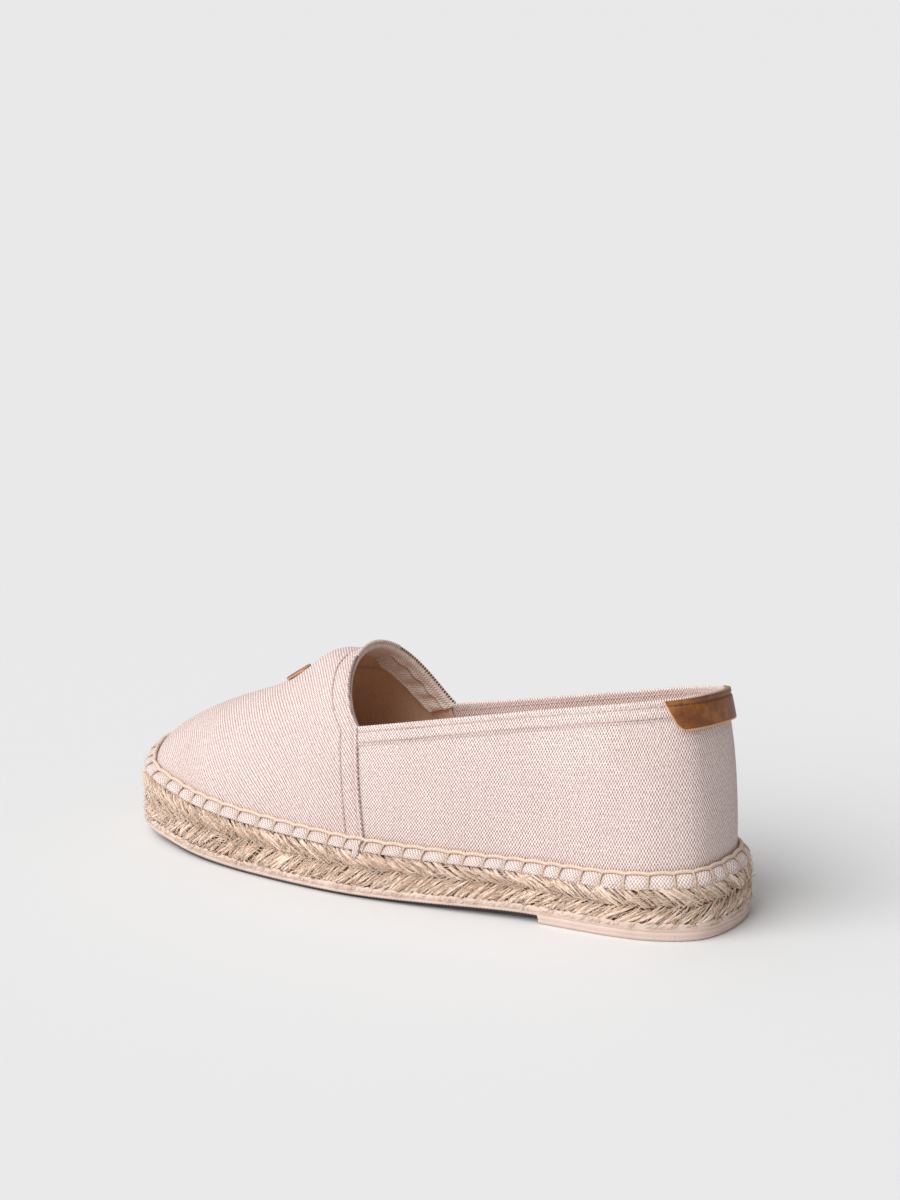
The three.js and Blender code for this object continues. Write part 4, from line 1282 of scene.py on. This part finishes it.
for row, down in enumerate(from_top[:, 0]):
    row_k, _ = arch_lengths(tab_q[row], collar_k(tab_q[row]), lambda total: (total - TAB_TOP - down)[None])
    tab_k[row] = row_k[0]
tab_rise = HEM_STEP + GAP + TAB_THICK - 0.35 * dip(from_top, TAB_GROOVE, 0.5)
tab_points = last(tab_q, tab_k) + outward(tab_q, tab_k) * tab_rise[..., None]
tab_weave = np.stack(np.broadcast_arrays(tab_length, -from_top), -1)
from_end = np.minimum(tab_length[:, :1] - tab_length, tab_length - tab_length[:, -1:])
from_foot = (TAB_HIGH - TAB_TOP) - from_top
tab_raw = 1 - smooth((np.minimum(from_end, from_foot) - 0.35) / 0.35)
tab_dashes = 0.5 + 0.5 * np.sign(np.sin(2 * np.pi * tab_length / 2.4) + 0.4)
# painted shade in the stitched groove, deepest along the stitches, and along the top edge
tab_shade = dip(from_top, TAB_GROOVE, 0.3) * (0.35 + 0.5 * tab_dashes) * (from_end > 1.6)
tab_shade = tab_shade + 0.5 * dip(from_top, 0.0, 0.3)
tab = piece(sheet("heel_tab_leather", tab_points, tab_weave, flip=True, shade=tab_shade, raw=tab_raw),
            [hide, raw_edge], "heel_tab")
tab_wall = tab.modifiers.new("thickness", "SOLIDIFY")
tab_wall.thickness = TAB_THICK * MM
tab_wall.offset = -1
tab_wall.material_offset_rim = 1
print("tab reaches", round(outer_tab, 1), "and", round(inner_tab, 1), "mm from the back")

# %% Vamp disc
DISC_LONG, DISC_WIDE = 4.2, 5.1
DISC_ALONG, DISC_BACK, DISC_OUTWARD = 1 - 0.266, 1.6, 2.8
disc_x = x_at(DISC_ALONG) - DISC_BACK
disc_y = float(read_table(SECTIONS, 2, DISC_ALONG)) * BALL_WIDTH + DISC_OUTWARD


NEAR_RIDGE = 0.985


def on_vamp(x, y, rise):
    """The point over the plan place x, y, at a rise over the last."""
    q_place = body_q(x)
    q_place = np.where(y >= read_table(SECTIONS, 2, along_of(x)) * BALL_WIDTH, q_place, 6 - q_place)
    foot_x, foot_y = ring(-FEATHER, q_place)
    ridge_y = np.interp(q_place, Q, q_ridge[:, 1])
    share = np.clip((y - ridge_y) / (foot_y - ridge_y), 0, 1)
    power = 2 / np.interp(q_place, Q, q_square)
    k_place = np.arccos(np.clip(share ** (1 / power), 0, 1)) * 2 / np.pi
    n = outward(q_place, np.minimum(k_place, NEAR_RIDGE))
    n = np.where((k_place > NEAR_RIDGE)[..., None], unit(n * (1, 0.4, 1)), n)
    return last(q_place, k_place) + n * rise


disc_turn = np.linspace(0, 2 * np.pi, 65)
# share of the radius, height over the vamp, and how raw the leather is there
disc_rings = [
    (0.02, 0.9, 0), (0.2, 0.9, 0), (0.4, 0.9, 0), (0.6, 0.9, 0), (0.8, 0.9, 0), (0.92, 0.85, 0),
    (0.97, 0.75, 0.2), (1.0, 0.5, 0.8), (1.0, 0.25, 1.0), (0.96, 0.0, 0.6),
]
disc_rows = []
for share, up, _ in disc_rings:
    x = disc_x + DISC_LONG * share * np.cos(disc_turn)
    y = disc_y + DISC_WIDE * share * np.sin(disc_turn)
    disc_rows.append(on_vamp(x, y, VAMP_LAP + GAP * 0.4 + up))
disc_raw = np.array(disc_rings)[:, 2:]
disc = piece(sheet("vamp_disc_leather", np.stack(disc_rows), weld=0.15, raw=disc_raw), hide,
             "vamp_disc")
print("disc", DISC_WIDE * 2, "mm across")

# %% [markdown]
# ## The elastic at the throat
# The throat's edge slants down at both sides in gores, where a ribbed elastic is bound over it; a
# plain rolled hem runs between them. Behind the gores a facing, puckered by the elastic and held by
# two cords, is seen from inside on the far side of the mouth. Strands and one sheet laid along the
# edge follow it exactly, which a strip drawn by hand would not.

# %% Ribbed elastic
def ribbed(name, pale, deep, rib):
    # covered rubber threads stand up as matt ribs, with painted shade in the gaps between them
    material, t = blank(name)
    uv = add(t, "ShaderNodeUVMap", {"uv_map": "weave"})
    grid = add(t, "ShaderNodeSeparateXYZ", None, {0: uv})
    angle = add(t, "ShaderNodeMath", {"operation": "MULTIPLY", 1: 2 * math.pi / rib}, {0: grid.outputs[0]})
    wave = add(t, "ShaderNodeMath", {"operation": "SINE"}, {0: angle})
    share = add(t, "ShaderNodeMapRange", {1: -0.5, 2: 0.6}, {0: wave})
    colour = add(t, "ShaderNodeMix", {"data_type": "RGBA", 6: hue(deep), 7: hue(pale)}, {0: share})
    bump = add(t, "ShaderNodeBump", {"Strength": 1.0, "Distance": 0.2 * MM}, {"Height": wave})
    cloth = add(t, "ShaderNodeBsdfPrincipled", {"Roughness": 0.85},
                {"Base Color": colour.outputs[2], "Normal": bump})
    add(t, "ShaderNodeOutputMaterial", None, {"Surface": cloth})
    return material


elastic = ribbed("elastic_ribbed", "D7C3B9", "5A4B44", 0.95)
puckered = cotton("cotton_facing_puckered", "F3E3D9", "CDB2A3", flecks=0.0, soil="E6D2C6")

THROAT_ROWS = 1200
k_throat = np.linspace(0, 1, THROAT_ROWS)
throat_side = []
for outer in (True, False):
    q_edge = edge_q(k_throat, outer)
    _, z = side_view(last(q_edge, k_throat))
    above = z > corner_z - 1.0
    throat_side.append((q_edge[above], k_throat[above]))
(outer_q, outer_k), (inner_q, inner_k) = throat_side
throat_q = np.concatenate([outer_q, inner_q[::-1]])
throat_k = np.concatenate([outer_k, inner_k[::-1]])
throat_steps = walk(last(throat_q, throat_k))
EDGE_LENGTH = throat_steps[-1]
OUTER_LENGTH = throat_steps[len(outer_q) - 1]
MM_PER_Q = SOLE_LENGTH * (TOE_POLE - HEEL_POLE)


def throat_point(length, ahead, rise):
    """A point beside the throat's edge: length along it, ahead of it on the cloth, rise off it."""
    q_here = np.interp(length, throat_steps, np.unwrap(throat_q, period=6.0))
    k_here = np.interp(length, throat_steps, throat_k)
    forward = np.where(length < OUTER_LENGTH, 1.0, -1.0)
    q_there = q_here + forward * ahead / MM_PER_Q
    away = outward(q_there, k_here)
    return last(q_there, k_here) + away * np.asarray(rise)[..., None], away


GORE, GORE_STATIONS, HEM_STATIONS = 34.0, 240, 160
ELASTIC_RADIUS, ROLL_RADIUS = 0.42, 0.62
BEHIND = -0.1
gore_runs = [np.linspace(15.0, GORE, GORE_STATIONS),
             np.linspace(EDGE_LENGTH - GORE, EDGE_LENGTH - 1.0, GORE_STATIONS)]
gore_paths, gore_ups = zip(*[throat_point(run, BEHIND, 0.35) for run in gore_runs])
gores = piece(strands("throat_elastic_edge", np.array(gore_paths), ELASTIC_RADIUS, np.array(gore_ups),
                      sides=10, flat=1.3), elastic)
hem_run = np.linspace(GORE - 1.0, EDGE_LENGTH - GORE + 1.0, HEM_STATIONS)
hem_path, hem_up = throat_point(hem_run, BEHIND, 0.4)
hem_roll = piece(strands("throat_hem_roll", hem_path[None], ROLL_RADIUS, hem_up[None], sides=10,
                         flat=1.2), duck_margin)
print("elastic edge", [round(float(run[-1] - run[0]), 1) for run in gore_runs], "mm long")

# %% Facing behind the throat
FACING_COLUMNS, FACING_CORDS = 460, (3.0, 8.9)
facing_ahead = np.concatenate([[0.0, 0.15, 0.45, 0.9], np.linspace(1.4, 9.5, 24)])[:, None]
facing_length = np.linspace(0.2, EDGE_LENGTH - 0.2, FACING_COLUMNS)[None]
at_gore = 1 - smooth((np.minimum(facing_length, EDGE_LENGTH - facing_length) - GORE + 3) / 5)
pucker = np.sin(facing_length * 0.72 + 0.5 * np.sin(facing_length * 0.21) + 0.2 * facing_ahead)
pucker = 0.55 * at_gore * pucker * np.sin(np.pi * np.clip((facing_ahead - 1.2) / 8.3, 0, 1))
near_cord, far_cord = FACING_CORDS
ridges = at_gore * (0.45 * dip(facing_ahead, near_cord, 0.4) + 0.55 * dip(facing_ahead, far_cord, 0.45))
hang = rounded(facing_ahead, 0.9) * (-WALL - GAP - 0.3)
hang = hang - 0.28 * at_gore * np.clip(facing_ahead - 0.9, 0, None)
facing_points, _ = throat_point(facing_length, facing_ahead, hang + 0.15 + pucker - ridges)
facing_shade = at_gore * (0.5 * dip(facing_ahead, 3.8, 0.35) + 0.6 * dip(facing_ahead, 9.5, 0.35))
facing_weave = np.stack(np.broadcast_arrays(facing_length, facing_ahead), -1)
facing = piece(sheet("throat_facing", facing_points, facing_weave, shade=facing_shade), puckered,
               "throat_band")
print("throat edge", round(float(EDGE_LENGTH)), "mm long")

# %% [markdown]
# ## Floor and finish
# The shoe stands on a flat sheet of white paper. One large face is enough, because nothing reaches
# its edge in the picture, and a faint fleck keeps it from looking like plain paint.

# %% Floor
FLOOR_HALF = 12.0
paper, t = blank("paper_backdrop")
place = add(t, "ShaderNodeTexCoord")
fleck = add(t, "ShaderNodeTexNoise", {"Scale": 900.0, "Detail": 1.0}, {"Vector": place.outputs["Object"]})
tone = add(t, "ShaderNodeMapRange", {3: 0.745, 4: 0.757}, {0: fleck})
matt = add(t, "ShaderNodeBsdfPrincipled", {"Roughness": 0.9, "Specular IOR Level": 0.1}, {"Base Color": tone})
add(t, "ShaderNodeOutputMaterial", None, {"Surface": matt})
bm = bmesh.new()
bmesh.ops.create_grid(bm, x_segments=1, y_segments=1, size=FLOOR_HALF)
floor_mesh = bpy.data.meshes.new("floor")
bm.to_mesh(floor_mesh)
bm.free()
floor_mesh.materials.append(paper)
floor = bpy.data.objects.new("floor", floor_mesh)
bpy.context.scene.collection.objects.link(floor)
print("floor laid")
